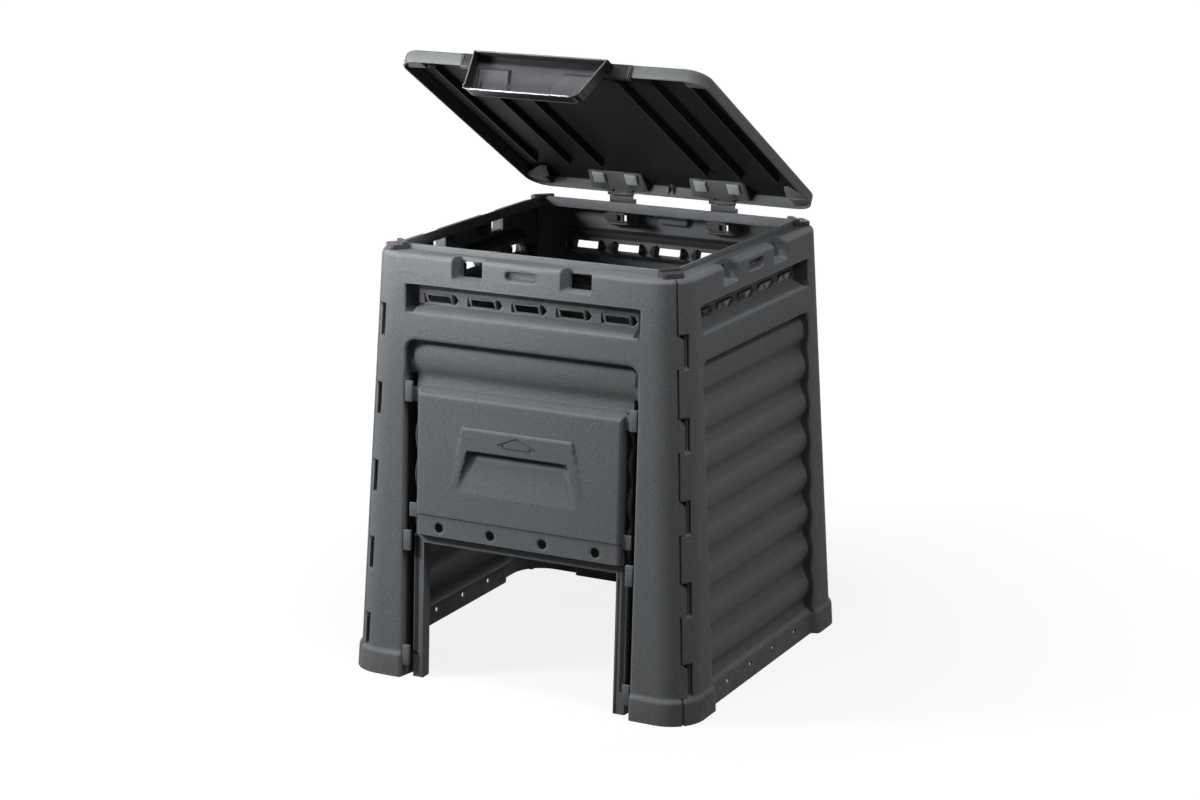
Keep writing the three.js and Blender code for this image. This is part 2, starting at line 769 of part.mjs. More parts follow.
// Hinge block under the lid's rear edge, with two barrels on the pin
function hingeBlock(middle) {
  const rear = lid_half_depth - skin * 2;
  const under = lid_top - lid_crown - skin;
  const low = lid_closed_level + block_drop;
  const front = lid_half_depth - block_depth;
  const profile = outline([
    [rear, low], [rear, under - lid_edge_radius / 2], [rear - lid_edge_radius, under - touch_gap],
    [front, under - touch_gap], [front, under - block_foot],
    [rear - block_foot, low],
  ]);
  const wedge = reshape(acrossPrism(profile, -block_half, block_half), (p) => {
    if (p.z < under - block_foot / 2) p.x -= Math.sign(p.x) * block_slant;
  });
  const body = solid(wedge.translate(middle, 0, 0));
  const barrels = [-1, 1].flatMap((side) => {
    const inside = middle + side * (strap_barrel_half + barrel_gap);
    const outside = middle + side * barrel_half;
    const x0 = Math.min(inside, outside);
    const x1 = Math.max(inside, outside);
    const arm = block(x0, x1, rear - block_foot, pin_in_lid, pin_closed_z, low + block_foot);
    return [bar(barrel_radius, x0, x1, pin_in_lid, pin_closed_z), solid(arm)];
  });
  const sockets = [-1, 1].map((side) => plugSolid(middle + side * plug_offset, touch_gap));
  const bore = bar(barrel_bore, middle - block_half, middle + block_half, pin_in_lid, pin_closed_z);
  return cutBy(joined([body].concat(barrels)), sockets.concat([bore]));
}

// Square plug pressed into the sloping face of a hinge block
function plugSolid(middle, clearance) {
  const under = lid_top - lid_crown - skin;
  const low = lid_closed_level + block_drop;
  const y0 = lid_half_depth - block_depth + block_foot;
  const slope = (under - block_foot - low) / (block_depth - block_foot - skin * 2);
  const tilt = Math.atan(slope);
  const run = plug_half + plug_proud;
  const centre = new THREE.Vector3(middle, y0 - block_foot + run, under - block_foot - slope * run);
  const head = plug_half + clearance;
  const shank = plug_shank_half + clearance;
  const cap = block(-head, head, -head, head, -plug_proud, plug_proud / 2 + clearance);
  const stem = block(-shank, shank, -shank, shank, -plug_proud, plug_shank_half + clearance);
  const place = (geometry) => solid(geometry.rotateX(-tilt).translate(centre.x, centre.y, centre.z));
  return place(cap).add(place(stem));
}

// Strap that rises out of a rear notch. Its tail goes through the notch window to the clip.
function strapBody(middle) {
  const floor = lip_bottom - touch_gap - strap_tail_thickness;
  const top = pin_z;
  const plate = block(
    middle - strap_half, middle + strap_half, strap_front, strap_front + strap_plate, floor,
    top - barrel_radius - barrel_gap * 2,
  );
  const neck = block(
    middle - strap_barrel_half, middle + strap_barrel_half, strap_front, strap_front + strap_plate,
    top - strap_neck_drop, top + barrel_radius,
  );
  const arm = block(
    middle - strap_barrel_half, middle + strap_barrel_half, pin_y, strap_front + strap_plate / 2,
    top - barrel_radius / 2, top + barrel_radius,
  );
  const flanges = [-1, 1].map((side) => {
    const x = middle + side * strap_half;
    const inside = x - side * strap_plate;
    return solid(block(
      Math.min(x, inside), Math.max(x, inside), strap_front, strap_front + strap_plate + strap_flange, floor,
      top - strap_neck_drop,
    ));
  });
  const tail = block(
    middle - strap_tail_half, middle + strap_tail_half, strap_tail_end, strap_front + strap_plate, floor,
    floor + strap_tail_thickness,
  );
  const hook = block(
    middle - strap_tail_half, middle + strap_tail_half, strap_tail_end, strap_tail_end + strap_tail_thickness,
    floor - strap_hook_height, floor + strap_tail_thickness,
  );
  const barrel = bar(barrel_radius, middle - strap_barrel_half, middle + strap_barrel_half, pin_y, top);
  const bore = bar(barrel_bore, middle - strap_half, middle + strap_half, pin_y, top);
  return joined([solid(plate), solid(neck), solid(arm), solid(tail), solid(hook), barrel].concat(flanges))
    .subtract(bore);
}

const pinBody = (middle) => bar(pin_radius, middle - pin_half, middle + pin_half, pin_y, pin_z);

// Buckle-like frame round the strap's tail, on the inside of the rear wall
function clipBody(middle) {
  const floor = lip_bottom - touch_gap - strap_tail_thickness;
  const centre = floor + strap_tail_thickness / 2;
  const front = strap_tail_end + strap_tail_thickness + clip_setback;
  const frame = inwardPrism(
    roundedShape(-clip_half, clip_half, -clip_height / 2, clip_height / 2, clip_frame),
    front, front + clip_thickness,
  );
  const eye = strap_tail_half + touch_gap;
  const gap = strap_tail_thickness / 2 + touch_gap;
  const drop = clip_height / 2 - gap - clip_frame / 2;
  const slot = block(-eye, eye, front - overrun, front + overrun, drop - gap, drop + gap);
  const ring = solid(frame).subtract(solid(slot));
  return geometryOf(ring).translate(middle, 0, centre - drop);
}

// Smoky grip on the lid's front edge, drawn with the lid closed
function handleBody() {
  const level = (w) => lid_closed_level + w;
  const face = -lid_half_depth;
  const run = (grip_foot_reach - grip_reach) / (grip_level - grip_foot_level);
  const frontAt = (w) => face - grip_reach - (grip_level - w) * run;
  const backAt = (w) => frontAt(w) + grip_depth;
  const block_profile = outline([
    [face, level(grip_level)], [frontAt(grip_level), level(grip_level)],
    [frontAt(grip_foot_level), level(grip_foot_level)], [backAt(grip_foot_level), level(grip_foot_level)],
    [backAt(-ear_foot + touch_gap), level(-ear_foot + touch_gap)], [face, level(-ear_foot + touch_gap)],
  ]);
  const tray_top = grip_level - grip_skin;
  const tray_foot = grip_foot_level + grip_skin;
  const tray_profile = outline([
    [frontAt(tray_top) - overrun, level(tray_top)], [frontAt(tray_foot) - overrun, level(tray_foot)],
    [backAt(tray_foot) - grip_skin, level(tray_foot)], [backAt(tray_top) - grip_skin, level(tray_top)],
  ]);
  const sides = (grow) => {
    const top = grip_top_half - grow;
    const foot = grip_foot_half - grow;
    const shape = outline([
      [-foot + grip_corner_radius, level(grip_foot_level)], [foot - grip_corner_radius, level(grip_foot_level)],
      [foot - grip_corner_radius / 4, level(grip_foot_level + grip_corner_radius / 4)],
      [foot, level(grip_foot_level + grip_corner_radius)],
      [top, level(grip_level)], [top, level(grip_level + overrun)],
      [-top, level(grip_level + overrun)], [-top, level(grip_level)],
      [-foot, level(grip_foot_level + grip_corner_radius)],
      [-foot + grip_corner_radius / 4, level(grip_foot_level + grip_corner_radius / 4)],
    ]);
    return solid(inwardPrism(shape, face - grip_foot_reach - overrun, face + overrun));
  };
  const outer = solid(acrossPrism(block_profile, -ear_half, ear_half)).intersect(sides(0));
  const hollow = solid(acrossPrism(tray_profile, -ear_half, ear_half)).intersect(sides(grip_skin));
  const shell = outer.subtract(hollow);
  return shell.add(handlePads(level, (w) => backAt(w) - grip_skin)).add(handleEars(level, face));
}

// Two raised pads on the plate at the back of the tray
function handlePads(level, plateAt) {
  const slab = outline([
    [plateAt(grip_pad_top) - grip_pad_proud, level(grip_pad_top)],
    [plateAt(grip_foot_level + grip_foot_lip) - grip_pad_proud, level(grip_foot_level + grip_foot_lip)],
    [plateAt(grip_foot_level + grip_foot_lip) + grip_skin / 2, level(grip_foot_level + grip_foot_lip)],
    [plateAt(grip_pad_top) + grip_skin / 2, level(grip_pad_top)],
  ]);
  const skinned = solid(acrossPrism(slab, -ear_half, ear_half));
  const low = level(grip_foot_level + grip_foot_lip);
  const high = level(grip_pad_top);
  const pads = [-1, 1].map((side) => {
    const points = [
      [side * grip_pad_foot_inner, low], [side * (grip_foot_half - grip_corner_radius), low],
      [side * (grip_foot_half - grip_pad_edge), level(grip_foot_level + grip_corner_radius)],
      [side * (grip_top_half - grip_pad_edge * 2), high], [side * grip_pad_top_inner, high],
    ];
    const shape = outline(side > 0 ? points : points.reverse());
    return solid(inwardPrism(shape, plateAt(grip_foot_level) - overrun, 0));
  });
  return joined(pads).intersect(skinned);
}

// Ears that wrap the lower edge of the lid's front lip
function handleEars(level, face) {
  const front = face - touch_gap - ear_thickness;
  const back = face + skin + touch_gap + ear_thickness;
  const ears = block(-ear_half, ear_half, front, back, level(-ear_foot), level(ear_top));
  const slot = block(
    -ear_half * 2, ear_half * 2, face - touch_gap, face + skin + touch_gap, level(-touch_gap), level(ear_top + overrun),
  );
  const trim = block(-ear_half * 2, ear_half * 2, face, back + overrun, level(ear_clamp_top), level(ear_top + overrun));
  const middle = grip_top_half - grip_skin * 3;
  const mouth = block(-middle, middle, front - overrun, face - touch_gap, level(-ear_foot), level(grip_level - grip_skin));
  return cutBy(solid(ears), [solid(slot), solid(trim), solid(mouth)]);
}

// Materials
const finish = (name, color, roughness) => {
  const material = new THREE.MeshStandardMaterial({ color, roughness, metalness: 0 });
  material.name = name;
  return material;
};
const panelFinish = () => finish('moulded_grey', 0x5f6264, 0.62);
const lidFinish = () => finish('lid_grey', 0x63666a, 0.55);
const darkFinish = () => finish('dark_fittings', 0x3f3d3f, 0.45);
const gripFinish = () => finish('smoky_grip', 0x59575a, 0.3);

function named(name, geometry, material) {
  const mesh = new THREE.Mesh(geometry, material);
  mesh.name = name;
  return mesh;
}

// The assembly
const bin = new THREE.Group();

const side = panelBody();
const sideGeometry = geometryOf(side);
bin.add(named('front_panel', geometryOf(frontBody(side)), panelFinish()));
[['right_panel', 1], ['back_panel', 2], ['left_panel', 3]].forEach(([name, turns]) => {
  const panel = named(name, sideGeometry, panelFinish());
  panel.rotation.z = turns * quarter;
  bin.add(panel);
});

const capGeometry = geometryOf(capBody());
['back_right', 'back_left', 'front_left', 'front_right'].forEach((place, turns) => {
  const cap = named(`corner_cap_${place}`, capGeometry, darkFinish());
  cap.rotation.z = turns * quarter;
  bin.add(cap);
});

bin.add(named('hatch_door', geometryOf(doorBody()), panelFinish()));

// Pieces that tilt with the lid are drawn closed, then lifted and turned about the hinge pin
const lidGroup = new THREE.Group();
lidGroup.position.set(0, pin_y, pin_z);
lidGroup.rotation.x = THREE.MathUtils.degToRad(-lid_open_degrees);
const closedPlace = new THREE.Group();
closedPlace.position.set(0, -pin_in_lid, -pin_closed_z);
lidGroup.add(closedPlace);
bin.add(lidGroup);

closedPlace.add(named('lid', geometryOf(lidBody()), lidFinish()));
closedPlace.add(named('lid_handle', geometryOf(handleBody()), gripFinish()));

[['left', -hinge_offset], ['right', hinge_offset]].forEach(([place, x]) => {
  closedPlace.add(named(`hinge_block_${place}`, geometryOf(hingeBlock(x)), lidFinish()));
  [['outer', -1], ['inner', 1]].forEach(([which, side_sign]) => {
    const plug = geometryOf(plugSolid(x + side_sign * plug_offset, 0));
    closedPlace.add(named(`hinge_plug_${place}_${which}`, plug, lidFinish()));
  });
  bin.add(named(`hinge_strap_${place}`, geometryOf(strapBody(x)), darkFinish()));
  bin.add(named(`hinge_pin_${place}`, geometryOf(pinBody(x)), darkFinish()));
  bin.add(named(`strap_clip_${place}`, clipBody(x), darkFinish()));
});

export default bin;
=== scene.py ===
import math

import bmesh
import bpy
import numpy as np
from bpy.props import FloatProperty, FloatVectorProperty, PointerProperty
from mathutils import Matrix, Vector


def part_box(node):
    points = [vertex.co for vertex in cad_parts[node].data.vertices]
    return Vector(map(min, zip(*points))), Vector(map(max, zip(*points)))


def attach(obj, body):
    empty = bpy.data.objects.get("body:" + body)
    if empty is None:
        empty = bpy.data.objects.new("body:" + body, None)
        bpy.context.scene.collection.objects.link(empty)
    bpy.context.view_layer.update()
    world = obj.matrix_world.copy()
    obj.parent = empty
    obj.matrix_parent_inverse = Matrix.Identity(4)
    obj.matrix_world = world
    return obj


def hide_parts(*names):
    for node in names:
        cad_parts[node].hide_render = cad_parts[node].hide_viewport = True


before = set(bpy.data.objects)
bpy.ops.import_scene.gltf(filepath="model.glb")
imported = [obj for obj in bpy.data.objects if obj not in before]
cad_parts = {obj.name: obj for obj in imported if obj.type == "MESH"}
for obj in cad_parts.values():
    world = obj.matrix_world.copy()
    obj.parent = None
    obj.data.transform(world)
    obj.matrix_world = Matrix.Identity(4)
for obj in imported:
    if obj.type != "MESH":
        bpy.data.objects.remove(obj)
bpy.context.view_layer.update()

bl_info = {
    "name": "Compost bin",
    "version": (1, 0, 0),
    "blender": (4, 5, 0),
    "location": "View3D > Sidebar > Compost bin",
    "description": "Moulded panels, hatch, lid and fittings of a garden compost bin",
    "category": "Object",
}

MM = 0.001

# Body sizes in millimetres, as in the frame
SKIN = 3.5
BASE_HALF = 320.0
RIM_HALF = 285.4
RIM_HEIGHT = 725.0
CORNER_RADIUS = 56.0
SKIRT_PROUD = 5.0
SKIRT_LEVEL = 38.0
SKIRT_CHAMFER = 6.0
SHOULDER = 8.0
TAPER = (BASE_HALF - RIM_HALF) / RIM_HEIGHT
CORE_HALF = 221.0
LIP_HALF = 247.0
LIP_THICKNESS = 4.0
LIP_TOP = 734.3
LIP_FOOT = 717.0
LIP_RADIUS = 8.0
SEAM = 45.0
SEAM_ANGLE = 44.6
FLANGE_ANGLE = 47.0

# Corner windows and tabs
WINDOW_TOPS = [636.8 - 134.175 * i for i in range(5)]
WINDOW_HEIGHT = 56.0
WINDOW_DEPTH = 8.0
WINDOW_ANGLE = 22.0
TAB_ANGLE = 56.9
TAB_CLEARANCE = 1.2
TAB_CHAMFER = 7.0
TAB_REACH = 9.0

# Ventilation strip, corrugated field, notches and the blind oval
VENT_HALF = 216.5
VENT_FOOT = 627.4
VENT_TOP = 675.0
VENT_DEPTH = 25.0
VENT_LEVEL = 649.5
VENT_PITCH = 82.0
VENT_MIDDLES = [(i - 2) * VENT_PITCH for i in range(5)]
VENT_RECESS = 11.0
VENT_RUNS = (13.0, 11.5, 3.0)
VENT_HEXAGON = [(-30, 0), (-28, -8.6), (28.5, -8.6), (36, 0), (28.5, 8.6), (-28, 8.6)]
SLOT_HALF = 21.4
SLOT_BELOW = 6.6
SLOT_ABOVE = 5.6
FRAME_RISE = 8.6
FRAME_TOP = 19.5
FRAME_FOOT = 27.5
FIELD_HALF = 215.5
FIELD_TOP = 583.0
FIELD_RADIUS = 20.0
WAVE_PITCH = 66.0
NOTCH_OFFSET = 100.0
NOTCH_HALF = 27.5
NOTCH_EASE = 2.5
NOTCH_FLOOR = 690.0
NOTCH_BACK = 264.0
NOTCH_WINDOW = 20.0
REAR_WINDOW_HALF = 14.6
REAR_WINDOW_FOOT = 698.4
OVAL_LEVEL = 705.0
SKIRT_HOLES = [(i - 2.5) * 93.0 for i in range(6)]
SKIRT_HOLE_LEVEL = 24.0
SKIRT_HOLE_RADIUS = 5.0

# A distance past every field and opening
FAR = 400.0

# Hatch
JAMB_HALF = 201.0
JAMB_DEPTH = 13.0
JAMB_TOP = 250.0
GUIDE_HALF = 212.0
GUIDE_DEPTH = 33.0
GUIDE_TOP = 523.0
HATCH_HALF = 180.5
HATCH_TOP = 237.0
DOOR_HALF = 195.0
DOOR_FOOT = 252.0
DOOR_TOP = 506.5
DOOR_BACK = 11.0
DOOR_PROUD = 2.0
DOOR_BAND = 38.0
DOOR_HOLES = [(i - 1.5) * 97.5 for i in range(4)]
DOOR_HOLE_LEVEL = 269.0
DOOR_HOLE_RADIUS = 8.0
BROW_FOOT = 336.0
BROW_TOP = 448.0
BROW_PROUD = 4.0
SCOOP_TOP = 409.5
SCOOP_DEPTH = 9.3
ARROW = [(-36, 427), (0, 441), (36, 427), (25, 428), (25, 423), (-25, 423), (-25, 428)]
LUG_LEVELS = (494.5, 239.5, 39.0)
TAB_LEVELS = (489.5, 292.0)

# Lid, drawn closed and then turned about the hinge pin
LID_HALF_WIDTH = 279.7
LID_HALF_DEPTH = 274.5
LID_RADIUS = 38.0
LID_HEIGHT = 26.0
LID_LEVEL = 733.5
LID_EDGE = 7.0
LID_CROWN = 3.0
LID_RIBS = (102.0, 167.0, 235.0)
LID_TILT = math.radians(-30.65)
PIN_Y = 266.8
PIN_Z = 748.3
PIN_IN_LID = 274.3
PIN_CLOSED_Z = 733.3
BLOCK_FRONT = 228.0
BLOCK_FOOT = 736.2
BARREL_RADIUS = 5.0
PLUG_SHIFT = 32.0
CLIP_SHIFT = 7.0
APRON_LEVELS = (708.6, 714.4)

# Grip, drawn with the lid closed: levels count from the lid's lower edge
GRIP_TOP_HALF = 121.5
GRIP_FOOT_HALF = 105.0
GRIP_CORNER = 14.0
GRIP_REACH = 27.0
GRIP_TOP = 16.5
GRIP_FOOT = -66.0
GRIP_RUN = 36.0 / 82.5
GRIP_DEPTH = 25.0
PAD_PROUD = 4.0


def smooth(t):
    """0 below 0 and 1 above 1, with 3 t squared less 2 t cubed between."""
    t = np.clip(t, 0, 1)
    return t * t * (3 - 2 * t)


def hinge(t, soft):
    """Half of t plus the root of t squared and soft squared: a ramp that starts at 0 with a rounded foot."""
    return 0.5 * (t + np.sqrt(t * t + soft * soft))


def ramp(t, soft=0.15):
    """A straight rise from 0 to 1 over t from 0 to 1, rounded at both ends."""
    return hinge(t, soft) - hinge(t - 1, soft)


def rounded_box(x, z, x0, x1, z0, z1, radius):
    """Distance to a rounded rectangle, negative inside: what passes the inner box, less the radius."""
    qx = np.abs(x - (x0 + x1) / 2) - (x1 - x0) / 2 + radius
    qz = np.abs(z - (z0 + z1) / 2) - (z1 - z0) / 2 + radius
    past = np.hypot(np.maximum(qx, 0), np.maximum(qz, 0))
    return past + np.minimum(np.maximum(qx, qz), 0) - radius


def polygon(x, z, points):
    """Distance to a convex outline given counter-clockwise: the largest distance to its edge lines."""
    worst = np.full(np.shape(x), -1e9)
    for (ax, az), (bx, bz) in zip(points, points[1:] + points[:1]):
        length = math.hypot(bx - ax, bz - az)
        worst = np.maximum(worst, ((x - ax) * (bz - az) - (z - az) * (bx - ax)) / length)
    return worst


def slopes(distance, x, z, nudge):
    """A distance at each place, and how fast it grows to the right and upwards."""
    across = distance(x + nudge, z) - distance(x - nudge, z)
    upward = distance(x, z + nudge) - distance(x, z - nudge)
    return distance(x, z), across / (2 * nudge), upward / (2 * nudge)


def mean_around(depth, x, z, step):
    """Mean of a depth one step to the right, to the left, above and below."""
    return (depth(x + step, z) + depth(x - step, z) + depth(x, z + step) + depth(x, z - step)) / 4


def graded(keys, fine, coarse, growth=0.4):
    """Grid lines through every key: a fine step apart at the keys, growing with distance up to coarse."""
    keys = np.unique(np.round(np.array(keys, float), 3))
    samples = 400
    lines = [keys[:1]]
    for a, b in zip(keys[:-1], keys[1:]):
        run = np.linspace(a, b, samples)
        step = np.minimum(coarse, fine + growth * np.minimum(run - a, b - run))
        mean = (step[1:] + step[:-1]) / 2
        count = np.concatenate([[0], np.cumsum((b - a) / (samples - 1) / mean)])
        parts = max(1, int(math.ceil(count[-1] - 0.3)))
        lines.append(np.interp(np.linspace(0, count[-1], parts + 1)[1:], count, run))
    return np.concatenate(lines)


def grid_faces(rows, columns, first=0, around=False):
    """Quads between neighbouring rows and columns of a grid of points, wound row by row."""
    last = columns if around else columns - 1
    r, c = np.meshgrid(np.arange(rows - 1), np.arange(last), indexing="ij")
    n = (c + 1) % columns
    quads = np.stack([r * columns + c, r * columns + n, (r + 1) * columns + n, (r + 1) * columns + c], -1)
    return quads.reshape(-1, 4) + first


class Parts:
    """Collects points and quads into one mesh, with a number at each point: above 0 pale, for painted
    highlights and wear, below 0 dark, for painted shade.
    """

    def __init__(self):
        self.points = []
        self.faces = []
        self.painted_light_and_wear = []
        self.count = 0

    def add(self, points, quads, painted_light_and_wear=0.0):
        points = np.asarray(points, float).reshape(-1, 3)
        self.points.append(points)
        self.faces.append(np.asarray(quads, int).reshape(-1, 4) + self.count)
        self.painted_light_and_wear.append(np.ravel(painted_light_and_wear) if np.ndim(painted_light_and_wear) else np.full(len(points), float(painted_light_and_wear)))
        self.count += len(points)

    def object(self, name, turn=None):
        """Makes the mesh in metres from the points that faces use."""
        points = np.concatenate(self.points) * MM
        faces = np.concatenate(self.faces)
        painted_light_and_wear = np.concatenate(self.painted_light_and_wear)
        used, inverse = np.unique(faces, return_inverse=True)
        faces = inverse.reshape(-1, 4)
        points = points[used]
        if turn is not None:
            matrix = np.array(turn, float)
            points = points @ matrix[:3, :3].T + matrix[:3, 3]
        mesh = bpy.data.meshes.new(name)
        mesh.vertices.add(len(points))
        mesh.vertices.foreach_set("co", points.astype(np.float32).ravel())
        mesh.loops.add(faces.size)
        mesh.loops.foreach_set("vertex_index", faces.astype(np.int32).ravel())
        mesh.polygons.add(len(faces))
        mesh.polygons.foreach_set("loop_start", np.arange(0, faces.size, 4, dtype=np.int32))
        mesh.polygons.foreach_set("use_smooth", np.ones(len(faces), bool))
        # Per-point painted highlight above 0 (partly wear on edges) and painted shade below 0
        attribute = mesh.attributes.new("painted_light_and_wear", "FLOAT", "POINT")
        attribute.data.foreach_set("value", painted_light_and_wear[used].astype(np.float32))
        mesh.update(calc_edges=True)
        mesh.validate()
        return new_object(name, mesh)


def new_object(name, mesh):
    made = bpy.data.objects.new(name, mesh)
    bpy.context.scene.collection.objects.link(made)
    return made


def sheet(name, x, y, z, painted_light_and_wear, turn=None):
    """One piece from a single grid of points."""
    parts = Parts()
    parts.add(np.stack([x, y, z], -1), grid_faces(*x.shape), painted_light_and_wear)
    return parts.object(name, turn)


def box_points(x0, x1, y0, y1, z0, z1):
    """Eight corners and six outward quads of an upright box."""
    corners = np.array([[x, y, z] for z in (z0, z1) for y in (y0, y1) for x in (x0, x1)], float)
    quads = [[0, 2, 3, 1], [4, 5, 7, 6], [0, 1, 5, 4], [2, 6, 7, 3], [0, 4, 6, 2], [1, 3, 7, 5]]
    return corners, np.array(quads)


def add_modifier(piece, kind, **settings):
    made = piece.modifiers.new(kind.title(), kind)
    for key, value in settings.items():
        setattr(made, key, value)


def bevel(piece, width, segments=2, angle=30):
    """A small round on every edge that is sharper than an angle."""
    limit = math.radians(angle)
    add_modifier(piece, "BEVEL", width=width * MM, segments=segments, limit_method="ANGLE", angle_limit=limit)


def thicken(piece, thickness):
    """Thickness of a moulded skin, added behind its face."""
    add_modifier(piece, "SOLIDIFY", thickness=thickness * MM, offset=-1, use_quality_normals=True)


def finish_piece(piece, finish, body, nodes=()):
    """Gives a piece its finish, edges that stay crisp, its body and the nodes it stands for."""
    piece.data.materials.append(finish_of(finish))
    if not any(m.type == "WEIGHTED_NORMAL" for m in piece.modifiers):
        add_modifier(piece, "EDGE_SPLIT", split_angle=math.radians(38))
    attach(piece, body)
    if nodes:
        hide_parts(*nodes)


def rounded_copy(node, name, width):
    """A merged copy of a frame node whose flat faces are joined and whose edges get a small round."""
    work = bmesh.new()
    work.from_mesh(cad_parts[node].data)
    bmesh.ops.remove_doubles(work, verts=work.verts, dist=0.00002)
    bmesh.ops.dissolve_limit(work, angle_limit=math.radians(1), verts=work.verts, edges=work.edges)
    for face in work.faces:
        face.smooth = True
    mesh = bpy.data.meshes.new(name)
    work.to_mesh(mesh)
    work.free()
    attribute = mesh.attributes.new("painted_light_and_wear", "FLOAT", "POINT")
    attribute.data.foreach_set("value", np.zeros(len(mesh.vertices), np.float32))
    piece = new_object(name, mesh)
    bevel(piece, width, 3)
    add_modifier(piece, "WEIGHTED_NORMAL", weight=80)
    return piece


# Material tools


class Number:
    """A shader socket that can be worked out with plain expressions, each of which adds its Math node."""

    def __init__(self, paint, socket):
        self.paint = paint
        self.socket = socket

    def work(self, operation, first, second):
        return self.paint.node("ShaderNodeMath", {"operation": operation}, {0: first, 1: second})

    def __add__(self, other):
        return self.work("ADD", self, other)

    __radd__ = __add__

    def __sub__(self, other):
        return self.work("SUBTRACT", self, other)

    def __rsub__(self, other):
        return self.work("SUBTRACT", other, self)

    def __mul__(self, other):
        return self.work("MULTIPLY", self, other)

    __rmul__ = __mul__

    def __pow__(self, other):
        return self.work("POWER", self, other)

    def limit(self, low, high):
        """Carries the range from low to high onto 0 to 1 and stops at both ends."""
        ends = {"Value": self, "From Min": low, "From Max": high}
        return self.paint.node("ShaderNodeMapRange", {"clamp": True}, ends)


class Paint:
    """Builds the nodes of one material, or of the surroundings."""

    def __init__(self, owner):
        self.owner = owner
        owner.use_nodes = True
        self.tree = owner.node_tree
        self.tree.nodes.clear()

    def node(self, kind, settings=None, sockets=None, output=0):
        """Adds a node with its settings and the values or links of its sockets, and returns one output."""
        made = self.tree.nodes.new(kind)
        for key, value in (settings or {}).items():
            setattr(made, key, value)
        for key, value in (sockets or {}).items():
            if isinstance(key, int):
                socket = made.inputs[key]
            else:
                socket = next(s for s in made.inputs if key in (s.identifier, s.name))
            if isinstance(value, Number):
                self.tree.links.new(value.socket, socket)
            else:
                socket.default_value = value
        if isinstance(output, int):
            return Number(self, made.outputs[output]) if made.outputs else made
        return Number(self, next(s for s in made.outputs if output in (s.identifier, s.name)))

    def place(self):
        return self.node("ShaderNodeTexCoord", output="Object")

    def noise(self, scale, detail, rough, stretch=None):
        where = self.place()
        if stretch:
            where = self.node("ShaderNodeMapping", sockets={"Vector": where, "Scale": stretch})
        values = {"Vector": where, "Scale": scale, "Detail": detail, "Roughness": rough}
        return self.node("ShaderNodeTexNoise", sockets=values, output="Fac")

    def mix(self, factor, first, second):
        values = {"Factor_Float": factor, "A_Color": first, "B_Color": second}
        return self.node("ShaderNodeMix", {"data_type": "RGBA"}, values, output="Result_Color")

    def attribute(self, name):
        return self.node("ShaderNodeAttribute", {"attribute_name": name}, output="Fac")

    def bump(self, height, strength, distance, under=None):
        values = {"Height": height, "Strength": strength, "Distance": distance}
        if under is not None:
            values["Normal"] = under
        return self.node("ShaderNodeBump", None, values)

    def close(self, shader):
        self.node("ShaderNodeOutputMaterial", None, {"Surface": shader})
        return self.owner

    def plastic(self, base, shine, normal, specular, alpha=1.0):
        values = {"Base Color": base, "Roughness": shine, "Normal": normal}
        values.update({"Specular IOR Level": specular, "Alpha": alpha})
        return self.close(self.node("ShaderNodeBsdfPrincipled", None, values))


def scaled(value, factor):
    return (value[0] * factor, value[1] * factor, value[2] * factor, 1.0)


def moulded(name, colour):
    """Textured moulding: fine spark-eroded grain, cloudy tone, paler edges that are painted highlight and
    wear, painted shade in hollows, and dust near the ground.
    """
    paint = Paint(bpy.data.materials.new(name))
    cloud = paint.noise(4.5, 4.0, 0.6)
    fine = paint.noise(430.0, 3.0, 0.75)
    speck = paint.noise(900.0, 2.0, 0.6)
    streak = paint.noise(30.0, 3.0, 0.6, (1.0, 1.0, 0.16))
    painted_light_and_wear = paint.attribute("painted_light_and_wear")
    # Paler convex edges: painted highlight, with some rubbing wear that also lowers the roughness
    highlight_and_rub = (painted_light_and_wear * (0.5 + paint.noise(55.0, 3.0, 0.7))).limit(0.12, 0.75)
    # Darker hollows: painted shade in recesses
    hollow = (painted_light_and_wear * -1.0).limit(0.2, 1.0)
    base = paint.mix(cloud.limit(0.3, 0.7), scaled(colour, 0.92), scaled(colour, 1.07))
    layers = ((fine.limit(0.4, 0.6) * 0.8, 1.4), (speck.limit(0.52, 0.64) * 0.55, 0.42))
    layers += ((streak.limit(0.5, 0.72) * 0.1, 1.3), (highlight_and_rub * 0.42, 1.9), (hollow * 0.9, 0.14))
    for share, factor in layers:
        base = paint.mix(share, base, scaled(colour, factor))
    height = paint.node("ShaderNodeSeparateXYZ", None, {0: paint.place()}, output="Z")
    low = (1.0 - height.limit(0.0, 0.16)) ** 2.0
    dusty = low * paint.noise(38.0, 5.0, 0.65).limit(0.42, 0.66) * 0.35
    base = paint.mix(dusty, base, (0.105, 0.088, 0.066, 1.0))
    shine = 0.56 + (cloud - 0.5) * 0.1 + (fine - 0.5) * 0.12 - highlight_and_rub * 0.12 + dusty * 0.2
    normal = paint.bump(fine, 0.5, 0.0006)
    normal = paint.bump(speck, 0.22, 0.0003, normal)
    normal = paint.bump(paint.noise(9.0, 2.0, 0.5), 0.12, 0.004, normal)
    return paint.plastic(base, shine, normal, 0.08)


